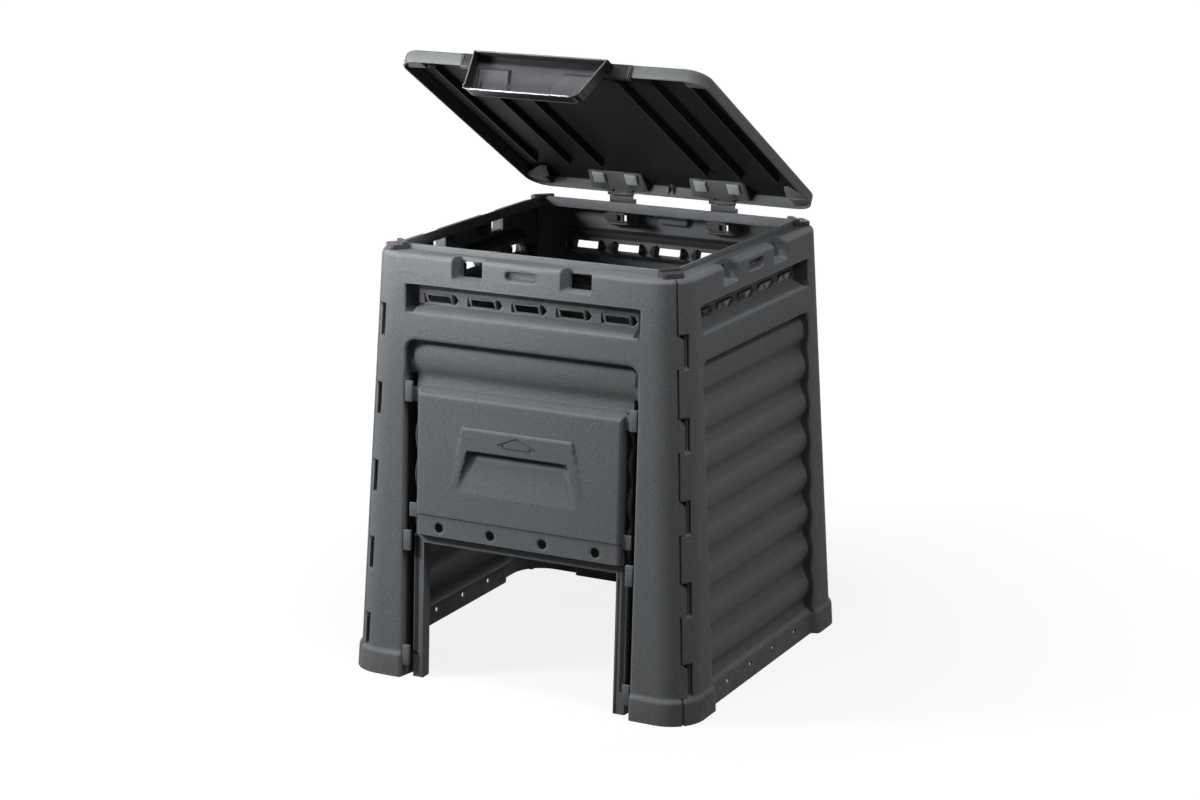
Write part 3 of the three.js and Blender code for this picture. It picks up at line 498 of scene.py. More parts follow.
def satin(name, colour, roughness, specular):
    """Smoother moulding of the lid and small fittings: flow marks, light scratches, paler edges as painted
    highlight and wear, painted shade in recesses and under the lid, and a soft shine.
    """
    paint = Paint(bpy.data.materials.new(name))
    cloud = paint.noise(7.0, 3.0, 0.55)
    fine = paint.noise(780.0, 2.0, 0.6)
    scratch = paint.noise(90.0, 4.0, 0.75, (1.0, 0.07, 0.3))
    painted_light_and_wear = paint.attribute("painted_light_and_wear")
    highlight_and_rub = (painted_light_and_wear * (0.5 + paint.noise(60.0, 3.0, 0.7))).limit(0.12, 0.8)
    base = paint.mix(cloud.limit(0.32, 0.68), scaled(colour, 0.9), scaled(colour, 1.1))
    base = paint.mix(fine.limit(0.4, 0.62) * 0.3, base, scaled(colour, 1.15))
    base = paint.mix(scratch.limit(0.62, 0.74) * 0.18, base, scaled(colour, 1.7))
    # Paler edges: painted highlight with some wear
    base = paint.mix(highlight_and_rub * 0.3, base, scaled(colour, 1.8))
    # Painted shade, strongest on the underside of the lid
    base = paint.mix((painted_light_and_wear * -1.0).limit(0.3, 0.9), base, scaled(colour, 0.1))
    shine = roughness + (cloud - 0.5) * 0.12 + scratch.limit(0.6, 0.75) * 0.12
    normal = paint.bump(fine, 0.16, 0.0004)
    normal = paint.bump(scratch, 0.05, 0.0006, normal)
    return paint.plastic(base, shine, normal, specular)


def smoky(name, colour):
    """Tinted moulding of the grip: some light passes, less of it where shade is painted in darker, with
    painted highlights on pale edges and flow clouds.
    """
    paint = Paint(bpy.data.materials.new(name))
    cloud = paint.noise(14.0, 3.0, 0.6)
    fine = paint.noise(500.0, 2.0, 0.5)
    painted_light_and_wear = paint.attribute("painted_light_and_wear")
    painted_shade = (painted_light_and_wear * -1.0).limit(0.0, 1.0)
    base = paint.mix(cloud.limit(0.35, 0.65), scaled(colour, 0.86), scaled(colour, 1.14))
    # Painted shade darkens the tray walls, borders and top band
    base = paint.mix(painted_shade, base, scaled(colour, 0.16))
    # Painted highlight on the pale edges
    base = paint.mix(painted_light_and_wear.limit(0.0, 1.0), base, scaled(colour, 2.6))
    shine = 0.3 + (cloud - 0.5) * 0.1
    return paint.plastic(base, shine, paint.bump(fine, 0.06, 0.0003), 0.3, 0.78 + painted_shade * 0.12)


def finish_of(name):
    """The shared finishes, each made once from the colours in the sidebar."""
    made = "finish_" + name
    found = bpy.data.materials.get(made)
    if found:
        return found
    tones = bpy.context.scene.compost_bin
    if name == "moulded_grey":
        return moulded(made, tones.panel_colour)
    if name == "smoky_grip":
        return smoky(made, tones.grip_colour)
    smooth_ones = {
        "lid_grey": (tones.lid_colour, 0.46, 0.05),
        "plug_grey": (scaled(tones.lid_colour, 2.1), 0.5, 0.2),
        "hinge_grey": (scaled(tones.lid_colour, 0.62), 0.5, 0.2),
        "dark_fittings": (tones.fitting_colour, 0.4, 0.2),
    }
    return satin(made, *smooth_ones[name])

# Wall panels


def wall_half(z):
    return BASE_HALF - TAPER * z


def skirt_bulge(z):
    return SKIRT_PROUD * (1 - ramp((z - SKIRT_LEVEL) / SKIRT_CHAMFER, 0.25))


def wave(z, top_mean, foot_mean, height):
    """Depth of the corrugations: a mean that grows downwards plus a cosine with narrow troughs."""
    share = (FIELD_TOP - z) / (FIELD_TOP - 44.0)
    turn = 2 * np.pi * (FIELD_TOP - z) / WAVE_PITCH
    return top_mean + (foot_mean - top_mean) * share + height * (np.cos(turn) - 0.22 * np.sin(turn) ** 2)


def vent_parts(x, z):
    """Share of the pointed recess and share of the slanting frame at each place, for all five vents."""
    recess = np.zeros(np.shape(x))
    rim = np.zeros(np.shape(x))
    up = z - VENT_LEVEL
    for middle in VENT_MIDDLES:
        off = x - middle
        recess = np.maximum(recess, ramp(-polygon(off, up, VENT_HEXAGON) / 1.1, 0.15))
        edge = rounded_box(off, up, -26.5, 26, -FRAME_RISE, FRAME_RISE, 2.0)
        rim = np.maximum(rim, ramp(-edge / 1.1, 0.15))
    return recess, rim


def pocket_share(x, z, half, foot, top, runs):
    """1 on the floor of a pocket and 0 outside it, with a run for the walls at the ends, foot and top."""
    end_run, foot_run, top_run = runs
    tx = (half - np.abs(x)) / end_run
    tz = np.minimum((z - foot) / foot_run, (top - z) / top_run)
    return 1 - np.hypot(np.maximum(1 - tx, 0), np.maximum(1 - tz, 0))


def common_depth(x, z):
    """Depth of the vent pocket with its collars, and of the blind oval, behind the wall."""
    t = pocket_share(x, z, VENT_HALF, VENT_FOOT, VENT_TOP, VENT_RUNS)
    depth = VENT_DEPTH * ramp(t, 0.12)
    recess, rim = vent_parts(x, z)
    lean = np.clip((VENT_LEVEL + FRAME_RISE - z) / (2 * FRAME_RISE), 0, 1)
    depth = depth + VENT_RECESS * recess
    depth = depth * (1 - rim) + (FRAME_TOP + (FRAME_FOOT - FRAME_TOP) * lean) * rim
    blind = rounded_box(x, z, -30, 30, OVAL_LEVEL - 8.5, OVAL_LEVEL + 8.5, 8.5)
    return np.maximum(depth, 0) + 9.0 * ramp(-blind / 2.2, 0.2)


def field_edge(x, z):
    return rounded_box(x, z, -FIELD_HALF, FIELD_HALF, -FAR, FIELD_TOP, FIELD_RADIUS)


def wall_depth(x, z, floor):
    """Depth with a given floor inside the field's outline, and with pocket and oval outside it."""
    share = ramp(-field_edge(x, z) / 5.0, 0.3)
    return common_depth(x, z) * (1 - share) + share * (floor + skirt_bulge(z))


def side_depth(x, z, height):
    """Depth on a side or rear panel, whose corrugated field ends in the recessed skirt."""
    above = ramp((z - SKIRT_LEVEL) / 9.0, 0.2)
    return wall_depth(x, z, 9.0 * (1 - above) + wave(z, 12.5, 18.0, height) * above)


def front_depth(x, z, height):
    """Depth on the front panel: as on a side, with the jamb plate and the two guide channels of the hatch."""
    jamb = ramp((JAMB_TOP - z) / 2.0, 0.2)
    floor = wave(z, 16.0, 17.6, min(height, 4.0)) * (1 - jamb) + JAMB_DEPTH * jamb
    channel = ramp((np.abs(x) - JAMB_HALF) / 1.4, 0.2) * ramp((GUIDE_TOP - z) / 3.0, 0.2)
    return wall_depth(x, z, floor * (1 - channel) + GUIDE_DEPTH * channel)


def hole_distance(x, z, side):
    """Distance to the nearest opening cut through a panel, negative inside it."""
    foot = VENT_LEVEL - SLOT_BELOW
    top = VENT_LEVEL + SLOT_ABOVE
    gaps = [rounded_box(x, z, m - SLOT_HALF, m + SLOT_HALF, foot, top, 1.5) for m in VENT_MIDDLES]
    low = REAR_WINDOW_FOOT if side == "back" else NOTCH_FLOOR + NOTCH_EASE
    half = REAR_WINDOW_HALF if side == "back" else NOTCH_WINDOW
    for middle in (-NOTCH_OFFSET, NOTCH_OFFSET):
        gaps.append(rounded_box(x, z, middle - half, middle + half, low, LIP_FOOT, 0.0))
    if side == "front":
        gaps.append(rounded_box(x, z, -HATCH_HALF, HATCH_HALF, -FAR, HATCH_TOP, 0.0))
    else:
        gaps += [np.hypot(x - middle, z - SKIRT_HOLE_LEVEL) - SKIRT_HOLE_RADIUS for middle in SKIRT_HOLES]
    return np.minimum.reduce(gaps)


def panel_columns(side):
    """Grid columns from the left flange to the tab tip: arc angles, shares of the plain strips, distances."""
    keys = [0, 30, NOTCH_OFFSET - NOTCH_HALF, NOTCH_OFFSET - 25, NOTCH_OFFSET + 25, NOTCH_OFFSET + NOTCH_HALF]
    keys += [203.5, FIELD_HALF - 5, FIELD_HALF, VENT_HALF, CORE_HALF]
    window = REAR_WINDOW_HALF if side == "back" else NOTCH_WINDOW
    keys += [NOTCH_OFFSET - window, NOTCH_OFFSET + window]
    for middle in VENT_MIDDLES[2:]:
        keys += [middle + s for s in (-35, -28.5, -25, -SLOT_HALF, SLOT_HALF, 25, 28.5, 35)]
    if side == "front":
        keys += [HATCH_HALF, JAMB_HALF, JAMB_HALF + 1.4, GUIDE_HALF]
    keys = [k for k in keys if 0 <= k <= CORE_HALF]
    core = graded(sorted([-k for k in keys] + keys), 1.1, 11.0, 0.55)
    left = [FLANGE_ANGLE, SEAM_ANGLE, 42.5, 41.9, 41.3, 38, 34, 31, 28.4, 27.7, 27.0, 26.3, 25.6]
    left += [23.4, 22.6, 21.8, 20.0, 15, 9, 4, 0]
    right = [0, 5, 11, 17, 23, 29, 35, 40, 43.0, 43.6, 44.1, SEAM_ANGLE, 49, 50.6, 53.6, TAB_ANGLE]
    strip = [0.25, 0.5, 0.75]
    kinds = np.repeat([-2, -1, 0, 1, 2], [len(left), 3, len(core), 3, len(right)])
    return kinds, np.concatenate([left, strip[::-1], core, strip, right])


def panel_rows(side):
    """Grid rows from the ground up: wall heights, then the rounded shoulder and the ledge as insets."""
    keys = [0, 14, SKIRT_HOLE_LEVEL, 34, SKIRT_LEVEL, 44, 47, FIELD_TOP - 20, FIELD_TOP - 5, FIELD_TOP]
    keys += [VENT_FOOT, VENT_FOOT + VENT_RUNS[1], VENT_TOP - VENT_RUNS[2], VENT_TOP]
    keys += [VENT_LEVEL + s for s in (-FRAME_RISE, -SLOT_BELOW, SLOT_ABOVE, FRAME_RISE)]
    keys += [NOTCH_FLOOR, NOTCH_FLOOR + NOTCH_EASE, 696.5, 713.5, LIP_FOOT]
    for top in WINDOW_TOPS:
        keys += [top, top - WINDOW_HEIGHT]
    if side == "back":
        keys += [REAR_WINDOW_FOOT]
    if side == "front":
        keys += [HATCH_TOP, JAMB_TOP, JAMB_TOP - 2, GUIDE_TOP, GUIDE_TOP - 3]
    wall_rows = graded(keys, 1.1, 6.2, 0.5)
    angles = np.radians([18, 36, 54, 72, 90])
    heights = np.concatenate([wall_rows, LIP_FOOT + SHOULDER * np.sin(angles), np.full(6, RIM_HEIGHT)])
    ledge = np.array([14.0, 20.0, 21.4, 26.0, 31.0, 36.0])
    insets = np.concatenate([np.zeros(len(wall_rows)), SHOULDER * (1 - np.cos(angles)), ledge])
    return heights, insets, len(wall_rows)


def panel_points(kinds, values, heights, insets, radius, depth=0.0):
    """Points of the wall: straight between the corners and an arc about each corner's axis, less depth."""
    half = wall_half(heights) - insets
    flat = half - radius
    sign = np.sign(kinds)
    arc = np.abs(kinds) == 2
    rest = np.abs(kinds) == 1
    angle = np.radians(values)
    x = np.where(kinds == 0, values, 0.0)
    x = np.where(rest, sign * (CORE_HALF + values * (flat - CORE_HALF)), x)
    x = np.where(arc, sign * (flat + radius * np.sin(angle)), x)
    y = np.where(arc, -(flat + radius * np.cos(angle)), -half)
    x = x - np.where(arc, sign * np.sin(angle), 0.0) * depth
    y = y + np.where(arc, np.cos(angle), 1.0) * depth
    return np.stack([x, y, heights + np.zeros_like(x)], -1)


def window_depth(kinds, values, z):
    """Depth of the corner windows on the left arc, with a thin upright rib and a small sill in each."""
    run = np.where(kinds == -2, np.radians(values - WINDOW_ANGLE) * CORNER_RADIUS, -9.0)
    depth = 5.0 * (kinds == -2) * ramp((values - 41.9) / 0.5, 0.2)
    depth = depth + 1.2 * ((kinds == 2) & (values < 45.0)) * smooth((values - 43.6) / 1.0)
    for top in WINDOW_TOPS:
        low = top - WINDOW_HEIGHT
        inside = np.minimum(run, np.minimum(z - low, top - z))
        hollow = WINDOW_DEPTH * ramp(inside / 1.0, 0.25)
        rib = smooth(1.7 - np.abs(run - 4.9) / 0.7) * (inside > 0.6)
        sill = smooth((5.0 - (z - low)) / 2.5) * (inside > 0.6)
        depth = np.maximum(depth, hollow * (1 - 0.75 * rib) * (1 - 0.65 * sill))
    return depth


def tab_reach(z):
    """The angle that a tab reaches past the seam at a height: none between tabs, less at its top corner."""
    reach = np.full(np.shape(z), -1.0)
    for top in WINDOW_TOPS:
        high = top - TAB_CLEARANCE
        low = top - WINDOW_HEIGHT + TAB_CLEARANCE
        cut = np.clip(z - (high - TAB_CHAMFER), 0, None)
        reach = np.where((z >= low - 0.01) & (z <= high + 0.01), TAB_REACH - cut, reach)
    return SEAM + reach * (TAB_ANGLE - SEAM) / TAB_REACH


def vent_shade(x, z):
    """Share of shade in the vent pocket: its ends, the strip under its top edge and the pointed recesses."""
    inside = (np.abs(x) < VENT_HALF) & (z > VENT_FOOT) & (z < VENT_TOP)
    ends = smooth((np.abs(x) - VENT_HALF + 15.5) / 2.0)
    top = smooth((z - VENT_TOP + 13.0) / 2.5)
    recess, rim = vent_parts(x, z)
    slot = recess * (1 - rim) * (np.abs(z - VENT_LEVEL) < 8.0)
    return 1.15 * inside * np.maximum(np.maximum(ends, top), slot) * (z < VENT_TOP - 0.5)


def field_shade(x, z, side):
    """Share of shade in the corrugated field: its walls, the strip under its top edge and below crests."""
    inner = -field_edge(x, z)
    inside = (inner > 0.3) & (z > SKIRT_LEVEL)
    wall = smooth((6.0 - inner) / 1.5)
    strip = 1.15 * smooth((12.0 - inner) / 1.6) * (z > FIELD_TOP - 40)
    turn = 2 * np.pi * (FIELD_TOP - z) / WAVE_PITCH
    below = np.clip(-np.sin(turn - 0.5), 0, 1) ** 1.5 * (0.34 if side == "front" else 0.68)
    shade = np.maximum(np.maximum(wall, strip), below)
    if side == "front":
        channel = 1.3 * smooth((np.abs(x) - DOOR_HALF + 6.0) / 3.0) * (z < DOOR_TOP - 8)
        shade = np.maximum(shade * (z > JAMB_TOP + 3), channel)
    return shade * inside


def panel_painted_light(kinds, values, x, z, side, on_wall, raised, hollow):
    """Painted highlights on edges, window edges and sills as positive numbers, partly wear on the edges, and
    painted shade in the hollows as negative ones.
    """
    # Paler convex edges and darker concave ones: painted highlight and painted shade, with some wear on the
    # edges
    painted_light_and_wear = np.where(on_wall, np.clip(raised / 3.0, -0.45, 1), 0.0)
    window = (kinds == -2) & (values < 41.0)
    # Painted shade in the corner windows, and a painted highlight on their ribs and edges
    painted_light_and_wear = painted_light_and_wear - 1.3 * window * smooth(hollow - 3.0)
    painted_light_and_wear = painted_light_and_wear + 0.9 * window * smooth(1.0 - np.abs(hollow - 2.3) / 0.7)
    # Painted highlight along the lower sill of each vent slot
    off = np.abs((x + 2.5 * VENT_PITCH) % VENT_PITCH - VENT_PITCH / 2)
    sill = on_wall & (off < 24) & (np.abs(x) < 205)
    painted_light_and_wear = painted_light_and_wear + 1.2 * sill * np.exp(-(((z - VENT_LEVEL + 7.4) / 1.1) ** 2))
    return painted_light_and_wear - on_wall * field_shade(x, z, side) - on_wall * vent_shade(x, z)


def panel_piece(name, side, turns, height):
    """One wall panel as a grid over its columns and rows, with its openings left out."""
    kinds, values = panel_columns(side)
    heights, insets, wall_count = panel_rows(side)
    tab_lines = sorted(t - TAB_CLEARANCE for t in WINDOW_TOPS)
    tab_lines += sorted(t - WINDOW_HEIGHT + TAB_CLEARANCE for t in WINDOW_TOPS)
    for line in tab_lines:
        heights[np.argmin(np.abs(heights[:wall_count] - line))] = line
    K, Z = np.meshgrid(kinds, heights)
    V = np.tile(values, (len(heights), 1))
    I = np.tile(insets[:, None], (1, len(values)))
    on_wall = (np.arange(len(heights)) < wall_count)[:, None] & (K == 0)
    g, gx, gz = slopes(lambda x, z: hole_distance(x, z, side), V, Z, 0.6)
    near = on_wall & (np.abs(g) < 1.5) & (np.abs(g) > 1e-6)
    V = np.where(near, V - g * gx, V)
    Z = np.where(near, Z - g * gz, Z)
    reach = tab_reach(Z)
    past = (K == 2) & (V > SEAM) & (reach > SEAM)
    V = np.where(past, SEAM + (V - SEAM) * (reach - SEAM) / (TAB_ANGLE - SEAM), V)
    flat_x = np.where(K == 0, V, FAR)

    def rule(x, z):
        return front_depth(x, z, height) if side == "front" else side_depth(x, z, height)

    own = rule(flat_x, Z)
    hollow = window_depth(K, V, Z)
    half_inset = I - skirt_bulge(Z) * (I == 0)
    radius = np.where(I > SHOULDER, 48.0 - 36.0 * (I - SHOULDER) / 26.4, CORNER_RADIUS - half_inset)
    points = panel_points(K, V, Z, half_inset, np.maximum(radius, 6.0), np.where(on_wall, own, 0.0) + hollow)
    for middle in (-NOTCH_OFFSET, NOTCH_OFFSET):
        inside = ramp((NOTCH_HALF - np.abs(flat_x - middle)) / NOTCH_EASE, 0.2)
        inside = inside * ramp((Z - NOTCH_FLOOR) / NOTCH_EASE, 0.2)
        back = np.maximum(points[..., 1], -NOTCH_BACK)
        points[..., 1] = points[..., 1] * (1 - inside) + back * inside
    raised = mean_around(rule, flat_x, Z, 3.0) - own
    painted_light_and_wear = panel_painted_light(K, V, flat_x, Z, side, on_wall, raised, hollow)
    # Painted highlight along the rounded shoulder under the ledge
    painted_light_and_wear = painted_light_and_wear + np.exp(-(((Z - 720.5) / 3.0) ** 2)) * 0.5 * (I < 12)
    quads = grid_faces(*Z.shape)
    row, column = np.unravel_index(quads[:, 0], Z.shape)
    inside = np.where(on_wall, hole_distance(V, Z, side), 1e9).ravel()[quads]
    keep = ~(inside <= 0.05).all(1)
    right_edge = values[np.minimum(column + 1, len(values) - 1)]
    beyond = (K.ravel()[quads[:, 1]] == 2) & (right_edge > SEAM_ANGLE + 0.1)
    has_tab = tab_reach(Z.ravel()[quads].mean(1)) > SEAM + 0.5
    keep &= ~(beyond & (~has_tab | (row >= wall_count - 1)))
    parts = Parts()
    parts.add(points, quads[keep], painted_light_and_wear)
    piece = parts.object(name, Matrix.Rotation(turns * math.pi / 2, 4, "Z"))
    thicken(piece, SKIN)
    return piece


def carried(profile, kinds, values):
    """A closed profile of half widths and heights carried along the columns."""
    halves, levels = np.array(profile).T[:, :, None]
    K = np.tile(kinds, (len(profile), 1))
    Z = np.tile(levels, (1, len(values)))
    radius = LIP_RADIUS + halves - LIP_HALF + np.zeros_like(Z)
    V = np.where(K == 0, values * np.minimum(CORE_HALF, halves - radius) / CORE_HALF, values)
    return panel_points(K, V, Z, wall_half(Z) - halves, radius)


def lip_part():
    """The rim lip of one panel: a thin upright wall with a rounded top that follows the mouth."""
    kinds = np.repeat([-2, 0, 2], 9)
    arc = np.linspace(SEAM_ANGLE, 0, 9)
    values = np.concatenate([arc, np.linspace(-CORE_HALF, CORE_HALF, 9), arc[::-1]])
    a = LIP_HALF
    b = LIP_HALF + LIP_THICKNESS
    profile = [(a, LIP_FOOT), (b, LIP_FOOT), (b, LIP_TOP - 1.4), (b - 0.5, LIP_TOP - 0.4)]
    profile += [(b - 1.4, LIP_TOP), (a + 1.4, LIP_TOP), (a + 0.5, LIP_TOP - 0.4), (a, LIP_TOP - 1.4)]
    points = carried(profile, kinds, values)
    count, columns = points.shape[:2]
    c = np.arange(columns - 1)
    quads = []
    for r in range(count):
        here = r * columns + c
        there = (r + 1) % count * columns + c
        quads.append(np.stack([here, here + 1, there + 1, there], -1))
    for c, order in ((0, (0, 1, 2, 3)), (columns - 1, (3, 2, 1, 0))):
        for trio in ((0, 1, 2, 7), (2, 3, 6, 7), (3, 4, 5, 6)):
            quads.append(np.array([[trio[k] * columns + c for k in order]]))
    painted_light_and_wear = np.zeros((count, columns))
    # Painted highlight on the lip's rounded top
    painted_light_and_wear[3:7] = 0.45
    return points, np.concatenate(quads), painted_light_and_wear


# Hatch door


def brow_rise(z):
    return BROW_PROUD * np.clip((z - BROW_FOOT) / (BROW_TOP - BROW_FOOT), 0, 1)


def scoop_place(z):
    """How far up the scoop a level lies, from 0 to 1, with the half width and the run of its side there."""
    share = np.clip((z - BROW_FOOT) / (SCOOP_TOP - BROW_FOOT), 0, 1)
    return share, 100.0 + 22.0 * (1 - share), 3.0 + 11.0 * share


def door_depth(x, z):
    """Depth behind the door's face plane: sloping borders, arch, scoop and lower band."""
    tx = (DOOR_HALF - np.abs(x)) / 8.5
    t = np.minimum(np.minimum(tx, (DOOR_TOP - z) / 14.0), (z - DOOR_FOOT) / 1.6)
    border = (DOOR_BACK + DOOR_PROUD) * (1 - ramp(t, 0.1))
    band = 2.0 * ramp((DOOR_FOOT + DOOR_BAND - z) / 1.6, 0.2)
    outline = [(-125.5, BROW_FOOT), (125.5, BROW_FOOT), (102.5, BROW_TOP), (-102.5, BROW_TOP)]
    arch = brow_rise(z) * ramp(-polygon(x, z, outline) / 1.6, 0.2)
    share, half, run = scoop_place(z)
    foot = BROW_FOOT - 0.5
    scoop = polygon(x, z, [(-122, foot), (122, foot), (92.5, SCOOP_TOP), (-92.5, SCOOP_TOP)])
    side = (half - np.abs(x) - 8.0) / run
    hollow = (SCOOP_DEPTH * share + brow_rise(z)) * ramp(-scoop / 1.4, 0.15) * ramp(side, 0.15)
    return border + band * (t > 0.2) - arch + hollow


def door_shade(x, z):
    """Share of shade on the door: the slot under the arch, the scoop's side walls and the sloping borders."""
    share, half, run = scoop_place(z)
    scoop = (z > BROW_FOOT + 2) & (z < SCOOP_TOP + 1) & (np.abs(x) < half - 7.0)
    sides = smooth((np.abs(x) - half + 8.0 + run * 0.8) / 5.0) * smooth(share * 3) * (x < 0)
    slot = 1.2 * smooth((z - SCOOP_TOP + 11.5) / 1.6)
    light = smooth(1.5 - np.abs(z - 396.4) / 1.3) * (np.abs(x) < 80)
    top = 0.42 * smooth((z - DOOR_TOP + 13.0) / 2.0) * (z < DOOR_TOP - 1.0)
    ends = 0.6 * smooth((np.abs(x) - DOOR_HALF + 7.5) / 2.0)
    return np.maximum(scoop * np.maximum(sides, slot), np.maximum(top, ends)) - 0.9 * light * scoop


def add_arrow(parts):
    """Ridge of the arrow: a small square profile carried along its outline on the arch."""
    path = np.array(ARROW, float)
    before = path - np.roll(path, 1, 0)
    before /= np.linalg.norm(before, axis=1)[:, None]
    after = np.roll(before, -1, 0)
    aside = np.stack([before[:, 1] + after[:, 1], -before[:, 0] - after[:, 0]], -1)
    aside /= np.clip(np.linalg.norm(aside, axis=1), 0.4, None)[:, None]
    rows = []
    for shift, rise in ((-0.9, 1.0), (-0.7, -0.9), (0.7, -0.9), (0.9, 1.0)):
        spot = path + aside * shift
        face = -(wall_half(spot[:, 1]) + DOOR_PROUD) - brow_rise(spot[:, 1])
        rows.append(np.column_stack([spot[:, 0], face + rise, spot[:, 1]]))
    # The ridge is painted darker: painted shade along it
    parts.add(rows, grid_faces(len(rows), len(path), around=True)[:, ::-1], -0.75)


def door_gap(x, z):
    """Distance to the nearest of the door's four round holes, negative inside it."""
    gaps = [np.hypot(x - middle, z - DOOR_HOLE_LEVEL) - DOOR_HOLE_RADIUS for middle in DOOR_HOLES]
    return np.minimum.reduce(gaps)


def door_piece(name):
    """The door as a grid over its face, with four round holes, and a solid thickness."""
    across = [0, 24, 36, 84, 88, 92.5, 102.5, 122, 125.5, DOOR_HALF - 8.5, DOOR_HALF]
    across += [middle + s for middle in DOOR_HOLES[2:] for s in (-8.05, -0.05, 7.95)]
    columns = graded(sorted([-k for k in across] + across), 1.1, 7.0, 0.5)
    upward = [DOOR_FOOT, DOOR_FOOT + 1.6, 261, DOOR_HOLE_LEVEL, 277, DOOR_FOOT + DOOR_BAND, BROW_FOOT]
    upward += [SCOOP_TOP, 424.5, 428.2, 438.5, BROW_TOP, DOOR_TOP - 14, DOOR_TOP]
    V, Z = np.meshgrid(columns, graded(upward, 1.0, 6.0, 0.5))
    g, gx, gz = slopes(door_gap, V, Z, 0.5)
    near = np.abs(g) < 1.8
    V = np.where(near, V - g * gx, V)
    Z = np.where(near, Z - g * gz, Z)
    own = door_depth(V, Z)
    g = door_gap(V, Z)
    y = -(wall_half(Z) + DOOR_PROUD) + own + 1.2 * np.clip(1 - np.abs(g) / 2.2, 0, 1) ** 2
    raised = mean_around(door_depth, V, Z, 2.5) - own
    # Paler convex edges, darker recesses and the door shade: painted highlight and painted shade
    painted_light_and_wear = np.clip(raised / 1.6, -1, 1) - door_shade(V, Z)
    quads = grid_faces(*Z.shape)
    keep = ~(g.ravel()[quads] <= 0.06).all(1)
    parts = Parts()
    parts.add(np.stack([V, y, Z], -1), quads[keep], painted_light_and_wear)
    add_arrow(parts)
    piece = parts.object(name)
    thicken(piece, 3.0)
    return piece


def leaned_box(x0, x1, d0, d1, z0, z1):
    """A box whose front and back follow the leaning wall at two depths."""
    points, quads = box_points(x0, x1, 0, 1, z0, z1)
    points[:, 1] = -wall_half(points[:, 2]) + d0 + (d1 - d0) * points[:, 1]
    return points, quads


# Lid


def lid_frame():
    """The turn that lifts the closed lid by the strap travel and tilts it about the pin."""
    lift = Matrix.Translation(Vector((0, PIN_Y, PIN_Z)) * MM)
    back = Matrix.Translation(Vector((0, -PIN_IN_LID, -PIN_CLOSED_Z)) * MM)
    return lift @ Matrix.Rotation(LID_TILT, 4, "X") @ back


def lid_ring(inset):
    """Points round the lid's rounded rectangle, moved in by inset: quarter arcs and straight sides."""
    a = LID_HALF_WIDTH - inset
    b = LID_HALF_DEPTH - inset
    r = max(LID_RADIUS - inset, 0.01)
    r = min(r, a, b) if min(a, b) > 0.01 else 0.0
    quarter = np.radians(np.linspace(0, 90, 13))
    arcs = []
    for i, (sx, sy) in enumerate([(1, -1), (1, 1), (-1, 1), (-1, -1)]):
        centre = np.array([sx * (a - r), sy * (b - r)])
        turn = quarter - math.pi / 2 + i * math.pi / 2
        arcs.append(centre + r * np.stack([np.cos(turn), np.sin(turn)], -1))
    shares = np.linspace(0, 1, 14)[1:-1, None]
    ring = []
    for arc, following in zip(arcs, arcs[1:] + arcs[:1]):
        ring += [arc, arc[-1] * (1 - shares) + following[0] * shares]
    return np.concatenate(ring)


def lid_shell(parts):
    """The lid's skin: a profile of insets and heights carried round its outline, closed at the middle."""
    top = LID_LEVEL + LID_HEIGHT
    outer = [(0.0, LID_LEVEL + 0.8), (0.0, top - LID_CROWN - LID_EDGE)]
    for angle in np.radians([15, 30, 45, 60, 75, 90]):
        inset = LID_EDGE * (1 - math.cos(angle))
        outer.append((inset, top - LID_CROWN - LID_EDGE * (1 - math.sin(angle))))
    outer += [(14.0, top - 1.9), (28.0, top - 0.6), (40.0, top), (90.0, top), (180.0, top)]
    outer.append((LID_HALF_DEPTH, top))
    inner = [(0.8, LID_LEVEL), (2.8, LID_LEVEL), (SKIN, LID_LEVEL + 0.8), (SKIN, top - LID_CROWN - LID_EDGE)]
    for angle in np.radians([30, 60, 90]):
        inset = SKIN + (LID_EDGE - SKIN) * (1 - math.cos(angle))
        inner.append((inset, top - LID_CROWN - LID_EDGE + (LID_EDGE - SKIN) * math.sin(angle)))
    under = top - SKIN
    inner += [(28.0, under - 0.8), (40.0, under), (90.0, under), (180.0, under), (LID_HALF_DEPTH, under)]
    profile = inner[::-1] + outer
    rings = []
    for inset, z in profile:
        flat = lid_ring(inset)
        rings.append(np.column_stack([flat, np.full(len(flat), z)]))
    points = np.stack(rings)
    painted_light_and_wear = np.zeros(points.shape[:2])
    edge = len(inner) + 2
    # Painted highlight on the lid's lower edge and rounded top edge, and painted shade on its underside
    painted_light_and_wear[len(inner) - 2:len(inner) + 1] = 0.7
    painted_light_and_wear[edge:edge + 4] = 0.35
    painted_light_and_wear[:len(inner) - 5] = -1.0
    parts.add(points, grid_faces(*points.shape[:2], around=True), painted_light_and_wear)


def bent_plate(corners, thickness):
    """A plate with a thickness downwards, from four corners of its upper side."""
    top = np.array(corners, float)
    low = top - np.array([0, 0, thickness])
    points = np.concatenate([low, top])
    quads = [[3, 2, 1, 0], [4, 5, 6, 7], [0, 1, 5, 4], [1, 2, 6, 5], [2, 3, 7, 6], [3, 0, 4, 7]]
    return points, np.array(quads)


def lid_details(parts):
    """Stiffening ribs that run from front to back under the lid."""
    under = LID_LEVEL + LID_HEIGHT - SKIN
    for x in LID_RIBS:
        for middle in (-x, x):
            y0, y1 = -LID_HALF_DEPTH + 52, LID_HALF_DEPTH - 88
            rib, sides = box_points(middle - 1.5, middle + 1.5, y0, y1, under - 11, under + 1)
            # Ribs painted darker: painted shade under the lid
            parts.add(rib, sides, -0.82)


